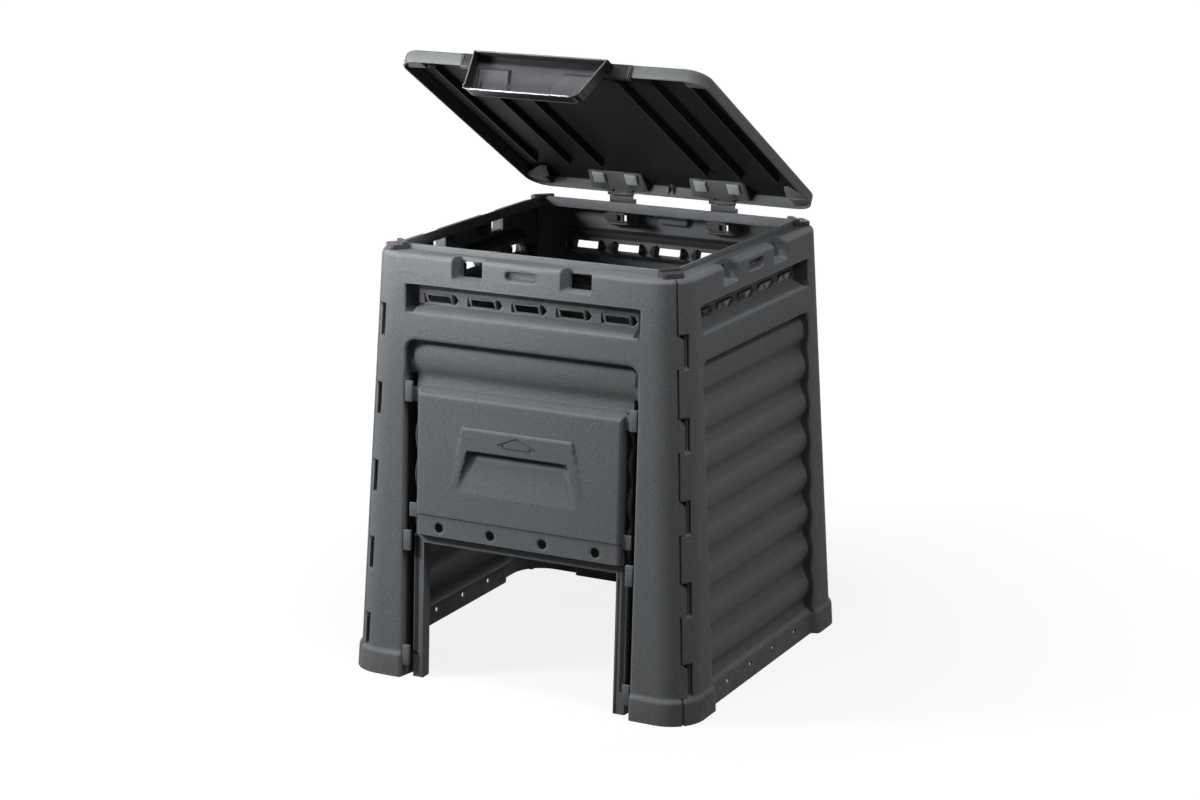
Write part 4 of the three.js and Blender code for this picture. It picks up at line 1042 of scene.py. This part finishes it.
def lid_seats(parts):
    """Corner seats: a landing over the cap, a riser up to the lid's skin and a strip past its crease."""
    for sx in (-1, 1):
        for sy in (-1, 1):

            def at(u, v, h):
                return (sx * (LID_HALF_WIDTH - u), sy * (LID_HALF_DEPTH - v), LID_LEVEL + h)

            plates = [
                ((at(12, 12, 7.4), at(3.2, 38, 7.4), at(40, 36, 8.0), at(40, 3.2, 7.4)), 3.0),
                ((at(3.2, 38, 7.4), at(3.2, 40, 8.4), at(38, 56, 21.0), at(40, 36, 8.0)), 1.8),
                ((at(40, 36, 8.0), at(38, 56, 21.0), at(47, 54, 20.0), at(47, 33, 8.6)), 1.8),
            ]
            for corners, thickness in plates:
                order = corners if sx * sy < 0 else corners[::-1]
                # Seats painted paler: painted highlight
                parts.add(*bent_plate(order, thickness), 1.0)
    for side in (-1, 1):
        y = LID_HALF_DEPTH - SKIN
        gusset = [(side * 6, y, LID_LEVEL + 20), (side * 6, y, LID_LEVEL + 3), (0, y - 16, LID_LEVEL + 20)]
        gusset.append(gusset[2])
        quads = [[0, 1, 2, 3]] if side < 0 else [[3, 2, 1, 0]]
        # Gusset painted a little paler: painted highlight
        parts.add(gusset, quads, 0.25)


def lid_pieces(name, builders):
    parts = Parts()
    for build in builders:
        build(parts)
    piece = parts.object(name, lid_frame())
    work = bmesh.new()
    work.from_mesh(piece.data)
    bmesh.ops.remove_doubles(work, verts=work.verts, dist=0.00001)
    bmesh.ops.recalc_face_normals(work, faces=work.faces)
    work.to_mesh(piece.data)
    work.free()
    return piece


# Grip


def grip_front(level):
    """Place in y of the tray's front edge at a level: it leans outwards down to its foot."""
    return -LID_HALF_DEPTH - GRIP_REACH - (GRIP_TOP - level) * GRIP_RUN


def grip_half(level):
    """Half width at a level: a straight taper above the corners and a quarter circle in them."""
    start = GRIP_FOOT + GRIP_CORNER
    straight = GRIP_FOOT_HALF + (GRIP_TOP_HALF - GRIP_FOOT_HALF) * (level - start) / (GRIP_TOP - start)
    fall = np.clip(start - level, 0, GRIP_CORNER)
    corner = GRIP_FOOT_HALF - GRIP_CORNER + np.sqrt(GRIP_CORNER ** 2 - fall ** 2)
    return np.where(level < start, corner, straight)


def grip_plate(name):
    """Plate at the back of the tray as a grid over width and level, with two pads, darker borders from
    painted shade and painted highlights round the pads.
    """
    turn = np.radians(np.linspace(0, 90, 24))
    corner = GRIP_FOOT + GRIP_CORNER * (1 - np.cos(turn))
    levels = np.concatenate([corner, np.linspace(-39, GRIP_TOP - 1.6, 52)])
    shares = np.linspace(-1, 1, 221)
    S, W = np.meshgrid(shares, levels)
    X = S * (grip_half(W) - 1.6)
    pad = polygon(np.abs(X), W, [(29, -60), (79, -60), (98, -40), (107.5, -10), (50, -10)])
    raised = ramp(-pad / 2.6, 0.15)
    y = grip_front(W) + GRIP_DEPTH - SKIN - PAD_PROUD * raised
    edge = np.minimum(np.minimum(grip_half(W) - np.abs(X), GRIP_TOP - W), W - GRIP_FOOT)
    border = smooth((8.0 - edge) / 4.0)
    top_band = smooth((W + 1.0) / 4.0)
    wall = smooth(1.7 - np.abs(pad + 1.2) / 1.5)
    # Painted shade on the borders, top band and pad walls, where the tinted plastic is also thicker
    thick_and_shaded = np.maximum(np.maximum(border * 0.7, top_band * 0.75), wall * 0.9)
    # Painted highlight along the pad edges and on their faces
    lit = 0.3 * smooth(1.5 - np.abs(pad + 3.8) / 0.8) + 0.12 * (pad < -5.0)
    painted_light_and_wear = np.where(lit > 0.1, lit, -thick_and_shaded)
    piece = sheet(name, X, y, LID_LEVEL + W, painted_light_and_wear, lid_frame())
    thicken(piece, 2.4)
    return piece


def grip_rim(name):
    """Walls of the tray: its outline carried from the front, where the edge carries a painted highlight, to
    the plate, with painted shade on the walls.
    """
    turn = np.radians(np.linspace(0, 90, 12))
    start = GRIP_FOOT + GRIP_CORNER
    down = np.linspace(GRIP_TOP, start, 16)[:-1]
    arc_x = GRIP_FOOT_HALF - GRIP_CORNER + GRIP_CORNER * np.cos(turn)
    arc_w = start - GRIP_CORNER * np.sin(turn)
    flat = np.linspace(arc_x[-1], -arc_x[-1], 20)[1:-1]
    top = np.linspace(GRIP_TOP_HALF, -GRIP_TOP_HALF, 26)[1:]
    x = np.concatenate([-grip_half(down), -arc_x, -flat, arc_x[::-1], grip_half(down)[::-1], top])
    w = [down, arc_w, np.full(len(flat), GRIP_FOOT), arc_w[::-1], down[::-1], np.full(len(top), GRIP_TOP)]
    w = np.concatenate(w)
    x[-1], w[-1] = x[0], w[0]
    lip = smooth((start - w) / GRIP_CORNER)
    depth = np.array([0.0, 0.4, 1.2, 2.4, 6.0, 12.0, 18.0, 24.0])[:, None]
    y = grip_front(w) + depth - lip * 4.5 * np.exp(-depth / 9.0)
    z = LID_LEVEL + w - lip * 2.0 * np.exp(-depth / 2.0)
    # Painted highlight on the front edge, painted shade on the walls behind it
    painted_light_and_wear = np.where(depth < 1.0, 0.62 - 0.2 * lip, -1.0)
    parts = Parts()
    parts.add(np.stack([x + np.zeros_like(y), y, z], -1), grid_faces(*y.shape)[:, ::-1], painted_light_and_wear)
    piece = parts.object(name, lid_frame())
    thicken(piece, 2.4)
    return piece


def grip_ears(name):
    """The two ears that wrap the lid's lip, and the bridge between the tray and the lip."""
    face = -LID_HALF_DEPTH
    low = LID_LEVEL
    parts = Parts()
    # Last number per plate: painted shade on the ear plates and bridge, painted highlight on the small ridges
    plates = [(-118.0, 118.0, face - 7.0, face - 0.4, -3.0, GRIP_TOP - 0.4, -0.8)]
    for x0, x1 in ((-155.0, -112.5), (112.5, 155.0)):
        plates.append((x0, x1, face - 3.3, face - 0.3, -3.5, 20.0, -0.75))
        plates.append((x0, x1, face - 0.3, face + 6.8, -3.5, -0.4, -0.75))
        plates.append((x0, x1, face + 3.8, face + 6.8, -0.4, 8.0, -0.75))
        middle = (x0 + x1) / 2
        plates.append((middle - 18, middle - 16.4, face - 5.0, face - 3.3, -2.0, 17.0, 0.6))
        plates.append((middle + 16.4, middle + 18, face - 5.0, face - 3.3, -2.0, 17.0, 0.6))
    for x0, x1, y0, y1, z0, z1, tone in plates:
        points, quads = box_points(x0, x1, y0, y1, low + z0, low + z1)
        parts.add(points, quads, tone)
    piece = parts.object(name, lid_frame())
    bevel(piece, 0.6)
    return piece


# Hinge blocks and strap clips


def block_piece(name, middle):
    """Wedge under the lid as a grid: a sloping face with rounded ends, a foot and two pairs of barrels."""
    top = LID_LEVEL + LID_HEIGHT - SKIN
    path_y = [BLOCK_FRONT, BLOCK_FRONT + 0.6, BLOCK_FRONT + 1.6, 262.0, 264.0, 266.0, 267.2, 267.4]
    path_z = [top + 0.5, top - 1.2, top - 2.2, BLOCK_FOOT + 1.0, BLOCK_FOOT]
    path_z += [BLOCK_FOOT + 0.6, BLOCK_FOOT + 2.2, top]
    half = [51.0, 52.0, 52.6, 57.0, 56.6, 55.6, 54.6, 54.6]
    shares = np.sin(np.radians(np.linspace(-90, 90, 15)))
    shares = np.concatenate([shares[:6], np.linspace(-0.6, 0.6, 25), shares[-6:]])
    S, Y = np.meshgrid(shares, path_y)
    Z = np.tile(np.array(path_z)[:, None], (1, len(shares)))
    H = np.tile(np.array(half)[:, None], (1, len(shares)))
    fall = 3.0 * np.clip((np.abs(S) - 0.93) / 0.07, 0, 1) ** 2
    X = middle + S * H
    Z = Z + fall * (Z < top - 1)
    points = np.stack([X, Y, Z], -1)
    faces = grid_faces(*S.shape)
    parts = Parts()
    # Painted highlight on the top edge of the face, painted shade at the foot and on the barrels
    painted_light_and_wear = np.zeros(S.shape)
    painted_light_and_wear[2] = 0.6
    painted_light_and_wear[4:7] = -0.5
    parts.add(points, faces, painted_light_and_wear)
    count = len(path_y)
    for column, order in ((0, 1), (len(shares) - 1, -1)):
        side = points[:, column]
        quads = [[i, i + 1, count - 2 - i, count - 1 - i][::order] for i in range(count // 2 - 1)]
        parts.add(side, quads)
    turn = np.radians(np.arange(0, 360, 20))
    ring_y = PIN_IN_LID + BARREL_RADIUS * np.cos(turn)
    ring_z = PIN_CLOSED_Z + BARREL_RADIUS * np.sin(turn)
    fan = [[0, i, i + 1, i + 2] for i in range(1, len(turn) - 2, 2)]
    for x0, x1 in ((-24.4, -13.6), (13.6, 24.4)):
        tube = [np.stack([np.full(len(turn), middle + x), ring_y, ring_z], -1) for x in (x0, x1)]
        parts.add(tube, grid_faces(2, len(turn), around=True), -0.6)
        parts.add(tube[0], [quad[::-1] for quad in fan], -0.6)
        parts.add(tube[1], fan, -0.6)
        arm_y = (265.5, PIN_IN_LID + 1)
        arm, sides = box_points(middle + x0, middle + x1, *arm_y, PIN_CLOSED_Z, BLOCK_FOOT + 5.0)
        parts.add(arm, sides, -0.6)
    return parts.object(name, lid_frame())


def plug_piece(name, middle):
    """Square plug on the sloping face: a low pyramid stub carried from its outline to its flat head."""
    slope = math.atan2(LID_HEIGHT - SKIN - 2.2 - BLOCK_FOOT + LID_LEVEL - 1.0, 262.0 - BLOCK_FRONT - 1.6)
    along = np.array([0, math.cos(slope), -math.sin(slope)])
    out = np.array([0, -math.sin(slope), -math.cos(slope)])
    start = np.array([middle, BLOCK_FRONT + 1.6, LID_LEVEL + LID_HEIGHT - SKIN - 2.2]) + along * 12.5
    rings = []
    for half, rise in ((12.0, -1.0), (12.0, 2.0), (11.2, 3.2), (10.0, 3.8), (0.05, 3.8)):
        corner = min(1.5, half)
        outline = []
        for cx, cy, first in ((1, -1, -90), (1, 1, 0), (-1, 1, 90), (-1, -1, 180)):
            for angle in np.radians([first, first + 30, first + 60, first + 90]):
                a = cx * (half - corner) + corner * math.cos(angle)
                b = cy * (half - corner) + corner * math.sin(angle)
                outline.append(start + np.array([a, 0, 0]) + along * b * 0.95 + out * rise)
        rings.append(outline)
    points = np.array(rings)
    painted_light_and_wear = np.zeros(points.shape[:2])
    # Painted highlight on the plug's raised rim
    painted_light_and_wear[1:3] = 0.5
    parts = Parts()
    parts.add(points, grid_faces(*points.shape[:2], around=True)[:, ::-1], painted_light_and_wear)
    return parts.object(name, lid_frame())


def apron_piece(name, middle):
    """Lower end of a strap, which hangs in the notch behind the window."""
    points, quads = box_points(middle - 22.4, middle + 22.4, NOTCH_BACK + 0.6, 267.9, *APRON_LEVELS)
    parts = Parts()
    parts.add(points, quads)
    piece = parts.object(name)
    bevel(piece, 0.6)
    return piece


def clip_piece(name, middle, low, high):
    """Buckle: a rounded plate as a grid with a raised frame, a sunk window and two bars in it."""
    half = (high[0] - low[0]) / 2
    z0, z1 = low[2] - 2.0, high[2]
    columns = graded([-half, -half + 4.5, -9.5, -4, 0, 4, 9.5, half - 4.5, half], 0.5, 1.6)
    rows = graded([z0, z0 + 4.5, z1 - 4.5, z1], 0.5, 1.4)
    X, Z = np.meshgrid(columns, rows)

    def outline(x, z):
        return rounded_box(x, z, -half, half, z0, z1, 4.5)

    g, gx, gz = slopes(outline, X, Z, 0.3)
    out = np.maximum(g, 0)
    X = X - out * gx
    Z = Z - out * gz
    g = outline(X, Z)
    frame_line = smooth(1.5 - np.abs(g + 2.4) / 1.2)
    window = ramp(-rounded_box(X, Z, -11, 11, z0 + 5.0, z1 - 5.5, 1.0) / 0.8, 0.2)
    bars = smooth(1.5 - np.abs(np.abs(X) - 3.2) / 1.0)
    depth = 1.2 - 1.2 * frame_line + 1.6 * (1 - ramp(-g / 1.2, 0.2)) + 2.0 * window * (1 - bars)
    # Painted highlight on the raised frame line, painted shade in the sunk window between the bars
    painted_light_and_wear = 0.6 * frame_line - 0.8 * window * (1 - bars)
    piece = sheet(name, X + middle, low[1] + depth, Z, painted_light_and_wear)
    thicken(piece, 2.2)
    return piece


# Settings, operators and the sidebar


class BinSettings(bpy.types.PropertyGroup):
    """Sizes and colours of the bin that a user would change"""

    wave_height: FloatProperty(
        name="Wave height", description="Half of the height of the corrugations on the side panels",
        default=0.0052, min=0.001, max=0.0055, subtype="DISTANCE", unit="LENGTH",
    )
    edge_round: FloatProperty(
        name="Edge round", description="Width of the round on the edges of the fittings",
        default=0.0008, min=0.0002, max=0.0015, subtype="DISTANCE", unit="LENGTH",
    )
    panel_colour: FloatVectorProperty(
        name="Panels", description="Colour of the textured grey walls and door", subtype="COLOR",
        size=3, default=(0.134, 0.142, 0.149), min=0, max=1,
    )
    lid_colour: FloatVectorProperty(
        name="Lid", description="Colour of the lid and its hinge blocks", subtype="COLOR",
        size=3, default=(0.105, 0.110, 0.112), min=0, max=1,
    )
    fitting_colour: FloatVectorProperty(
        name="Fittings", description="Colour of the caps, straps and clips", subtype="COLOR",
        size=3, default=(0.058, 0.055, 0.058), min=0, max=1,
    )
    grip_colour: FloatVectorProperty(
        name="Grip", description="Colour of the smoky handle", subtype="COLOR",
        size=3, default=(0.062, 0.061, 0.068), min=0, max=1,
    )
    light: FloatProperty(
        name="Key light", description="Power of the main lamp in the stage",
        default=34.0, min=0, unit="POWER",
    )


class AddWallPanels(bpy.types.Operator):
    """Builds the four wall panels with their rim lips"""

    bl_idname = "compost_bin.add_wall_panels"
    bl_label = "Wall panels"

    def execute(self, context):
        height = context.scene.compost_bin.wave_height / MM
        for turns, side in enumerate(("front", "right", "back", "left")):
            skin = panel_piece(side + "_wall", side, turns, height)
            finish_piece(skin, "moulded_grey", "bin", [side + "_panel"])
            lip = Parts()
            lip.add(*lip_part())
            if side == "front":
                depths = (JAMB_DEPTH - 1.5, GUIDE_DEPTH)
                for edge in (-1, 1):
                    for level in LUG_LEVELS:
                        x0, x1 = sorted((edge * (JAMB_HALF + 0.6), edge * (FIELD_HALF - 1)))
                        lip.add(*leaned_box(x0, x1, 0.2, 6.2, level - 17, level + 17))
                    x0, x1 = sorted((edge * HATCH_HALF, edge * (HATCH_HALF + SKIN)))
                    lip.add(*leaned_box(x0, x1, *depths, 0.2, HATCH_TOP + SKIN))
                lip.add(*leaned_box(-HATCH_HALF, HATCH_HALF, *depths, HATCH_TOP, HATCH_TOP + SKIN))
            trim = lip.object(side + "_rim_lip", Matrix.Rotation(turns * math.pi / 2, 4, "Z"))
            bevel(trim, 0.5, 2, 40)
            finish_piece(trim, "moulded_grey", "bin")
        return {"FINISHED"}


class AddCornerCaps(bpy.types.Operator):
    """Rounds the four dark caps on the rim corners"""

    bl_idname = "compost_bin.add_corner_caps"
    bl_label = "Corner caps"

    def execute(self, context):
        width = context.scene.compost_bin.edge_round / MM
        for place in ("back_right", "back_left", "front_left", "front_right"):
            node = "corner_cap_" + place
            cap = rounded_copy(node, "cap_" + place, width * 1.2)
            finish_piece(cap, "dark_fittings", "bin", [node])
        return {"FINISHED"}


class AddHatchDoor(bpy.types.Operator):
    """Builds the sliding door with its arch, scoop, band and side tabs"""

    bl_idname = "compost_bin.add_hatch_door"
    bl_label = "Hatch door"

    def execute(self, context):
        door = door_piece("door_face")
        finish_piece(door, "moulded_grey", "hatch", ["hatch_door"])
        tabs = Parts()
        for edge in (-1, 1):
            for level in TAB_LEVELS:
                x0, x1 = sorted((edge * (DOOR_HALF - 4), edge * 207.5))
                tabs.add(*leaned_box(x0, x1, DOOR_BACK - 4, DOOR_BACK - 0.2, level - 12, level + 12))
        made = tabs.object("door_tabs")
        bevel(made, 0.8, 3, 40)
        finish_piece(made, "moulded_grey", "hatch")
        return {"FINISHED"}


class AddLid(bpy.types.Operator):
    """Builds the lid's skin with its ribs and corner seats"""

    bl_idname = "compost_bin.add_lid"
    bl_label = "Lid"

    def execute(self, context):
        lid = lid_pieces("lid_skin", (lid_shell, lid_details))
        finish_piece(lid, "lid_grey", "lid", ["lid"])
        seats = lid_pieces("lid_seats", (lid_seats,))
        bevel(seats, 0.5)
        finish_piece(seats, "hinge_grey", "lid")
        return {"FINISHED"}


class AddGrip(bpy.types.Operator):
    """Builds the smoky grip on the lid's front edge: plate with pads, the tray's walls, and ears"""

    bl_idname = "compost_bin.add_grip"
    bl_label = "Grip"

    def execute(self, context):
        finish = "smoky_grip"
        finish_piece(grip_plate("grip"), finish, "lid", ["lid_handle"])
        finish_piece(grip_rim("grip_rim"), finish, "lid")
        finish_piece(grip_ears("grip_ears"), finish, "lid")
        return {"FINISHED"}


class AddHinges(bpy.types.Operator):
    """Builds the hinge blocks, plugs, aprons and clips, and rounds the straps and pins"""

    bl_idname = "compost_bin.add_hinges"
    bl_label = "Hinges"

    def execute(self, context):
        width = context.scene.compost_bin.edge_round / MM
        for side in ("left", "right"):
            middle = -NOTCH_OFFSET if side == "left" else NOTCH_OFFSET
            block = block_piece("block_" + side, middle)
            finish_piece(block, "hinge_grey", "lid", ["hinge_block_" + side])
            for which in ("outer", "inner"):
                node = "hinge_plug_" + side + "_" + which
                shift = PLUG_SHIFT if (side == "right") == (which == "outer") else -PLUG_SHIFT
                plug = plug_piece("plug_" + side + "_" + which, middle + shift)
                finish_piece(plug, "plug_grey", "lid", [node])
            for kind, share in (("strap", 0.7), ("pin", 0.4)):
                node = "hinge_" + kind + "_" + side
                made = rounded_copy(node, kind + "_" + side, width * share)
                finish_piece(made, "dark_fittings", "straps", [node])
            apron = apron_piece("apron_" + side, middle)
            finish_piece(apron, "dark_fittings", "straps")
            low, high = np.array(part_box("strap_clip_" + side)) / MM
            clip = clip_piece("clip_" + side, (low[0] + high[0]) / 2 + CLIP_SHIFT, low, high)
            finish_piece(clip, "dark_fittings", "straps", ["strap_clip_" + side])
        return {"FINISHED"}


def camera_matrix():
    """The camera's place and turn: yaw, pitch and roll about its own axes."""
    yaw, pitch, roll = 0.4756, -0.25153, 0.00369
    ahead = Vector((-math.sin(yaw) * math.cos(pitch), math.cos(yaw) * math.cos(pitch), math.sin(pitch)))
    right = Vector((math.cos(yaw), math.sin(yaw), 0))
    above = right.cross(ahead)
    c, s = math.cos(roll), math.sin(roll)
    turned_right = right * c + above * s
    turned_above = above * c - right * s
    turn = Matrix((turned_right, turned_above, -ahead)).transposed().to_4x4()
    return Matrix.Translation((2.0938, -4.0718, 1.6141)) @ turn


def lamp(name, place, aim, power, size):
    data = bpy.data.lights.new(name, "AREA")
    data.energy = power
    data.shape = "DISK"
    data.size = size
    made = bpy.data.objects.new(name, data)
    made.location = place
    made.rotation_euler = (Vector(aim) - Vector(place)).to_track_quat("-Z", "Y").to_euler()
    bpy.context.scene.collection.objects.link(made)
    return made


def seen_rays(paint):
    """1 for camera, glossy and transmission rays and 0 for the rest."""
    kinds = ("Is Camera Ray", "Is Glossy Ray", "Is Transmission Ray")
    camera, glossy, passing = [paint.node("ShaderNodeLightPath", output=kind) for kind in kinds]
    return (camera + glossy + passing).limit(0.0, 1.0)


class AddStage(bpy.types.Operator):
    """Adds the camera, the pale floor, the white surroundings and the lamps"""

    bl_idname = "compost_bin.add_stage"
    bl_label = "Stage"

    def execute(self, context):
        scene = context.scene
        data = bpy.data.cameras.new("photo_camera")
        data.lens = 82.42
        data.sensor_width = 36.0
        data.clip_end = 60.0
        camera = bpy.data.objects.new("photo_camera", data)
        camera.matrix_world = camera_matrix()
        scene.collection.objects.link(camera)
        scene.camera = camera
        reach = 14.0
        mesh = bpy.data.meshes.new("floor")
        corners = [(-reach, -reach, 0), (reach, -reach, 0), (reach, reach, 0), (-reach, reach, 0)]
        mesh.from_pydata(corners, [], [(0, 1, 2, 3)])
        floor = new_object("floor", mesh)
        paint = Paint(bpy.data.materials.new("pale_floor"))
        lit = paint.node("ShaderNodeBsdfDiffuse", None, {"Color": (0.14, 0.14, 0.14, 1.0)})
        away = paint.node("ShaderNodeVectorMath", {"operation": "LENGTH"}, {0: paint.place()}, output="Value")
        strength = seen_rays(paint) * (0.86 + away.limit(0.5, 1.6) * 0.14)
        glow = paint.node("ShaderNodeEmission", None, {"Color": (1, 1, 1, 1), "Strength": strength})
        mesh.materials.append(paint.close(paint.node("ShaderNodeAddShader", None, {0: lit, 1: glow})))
        world = bpy.data.worlds.new("surroundings")
        scene.world = world
        paint = Paint(world)
        strength = 0.05 + seen_rays(paint) * 0.95
        sky = paint.node("ShaderNodeBackground", None, {"Color": (1, 1, 1, 1), "Strength": strength})
        paint.node("ShaderNodeOutputWorld", None, {"Surface": sky})
        key = scene.compost_bin.light
        lamp("key", (-1.3, -1.15, 1.35), (-0.15, -0.2, 0.42), key * 1.02, 0.5)
        lamp("fill", (1.6, -0.8, 2.5), (0, 0, 0.4), key * 0.46, 0.6)
        lamp("top", (0.3, -0.5, 2.6), (0.1, 0, 0.5), key * 0.7, 0.7)
        low = lamp("low", (-0.9, -1.9, 0.8), (0.05, 0.1, 1.05), key * 0.05, 0.3)
        low.data.spread = math.radians(26)
        scene.view_settings.view_transform = "Standard"
        return {"FINISHED"}


STEPS = (AddWallPanels, AddCornerCaps, AddHatchDoor, AddLid, AddGrip, AddHinges, AddStage)


class BinSidebar(bpy.types.Panel):
    """Lists the bin's settings and the steps that build it"""

    bl_label = "Compost bin"
    bl_idname = "VIEW3D_PT_compost_bin"
    bl_space_type = "VIEW_3D"
    bl_region_type = "UI"
    bl_category = "Compost bin"

    def draw(self, context):
        settings = context.scene.compost_bin
        for key in BinSettings.__annotations__:
            self.layout.prop(settings, key)
        for step in STEPS:
            self.layout.operator(step.bl_idname)


CLASSES = (BinSettings,) + STEPS + (BinSidebar,)


def register():
    for item in CLASSES:
        bpy.utils.register_class(item)
    bpy.types.Scene.compost_bin = PointerProperty(type=BinSettings)


def unregister():
    del bpy.types.Scene.compost_bin
    for item in reversed(CLASSES):
        bpy.utils.unregister_class(item)


def main():
    register()
    for step in STEPS:
        group, call = step.bl_idname.split(".")
        getattr(getattr(bpy.ops, group), call)()


if __name__ == "__main__":
    main()
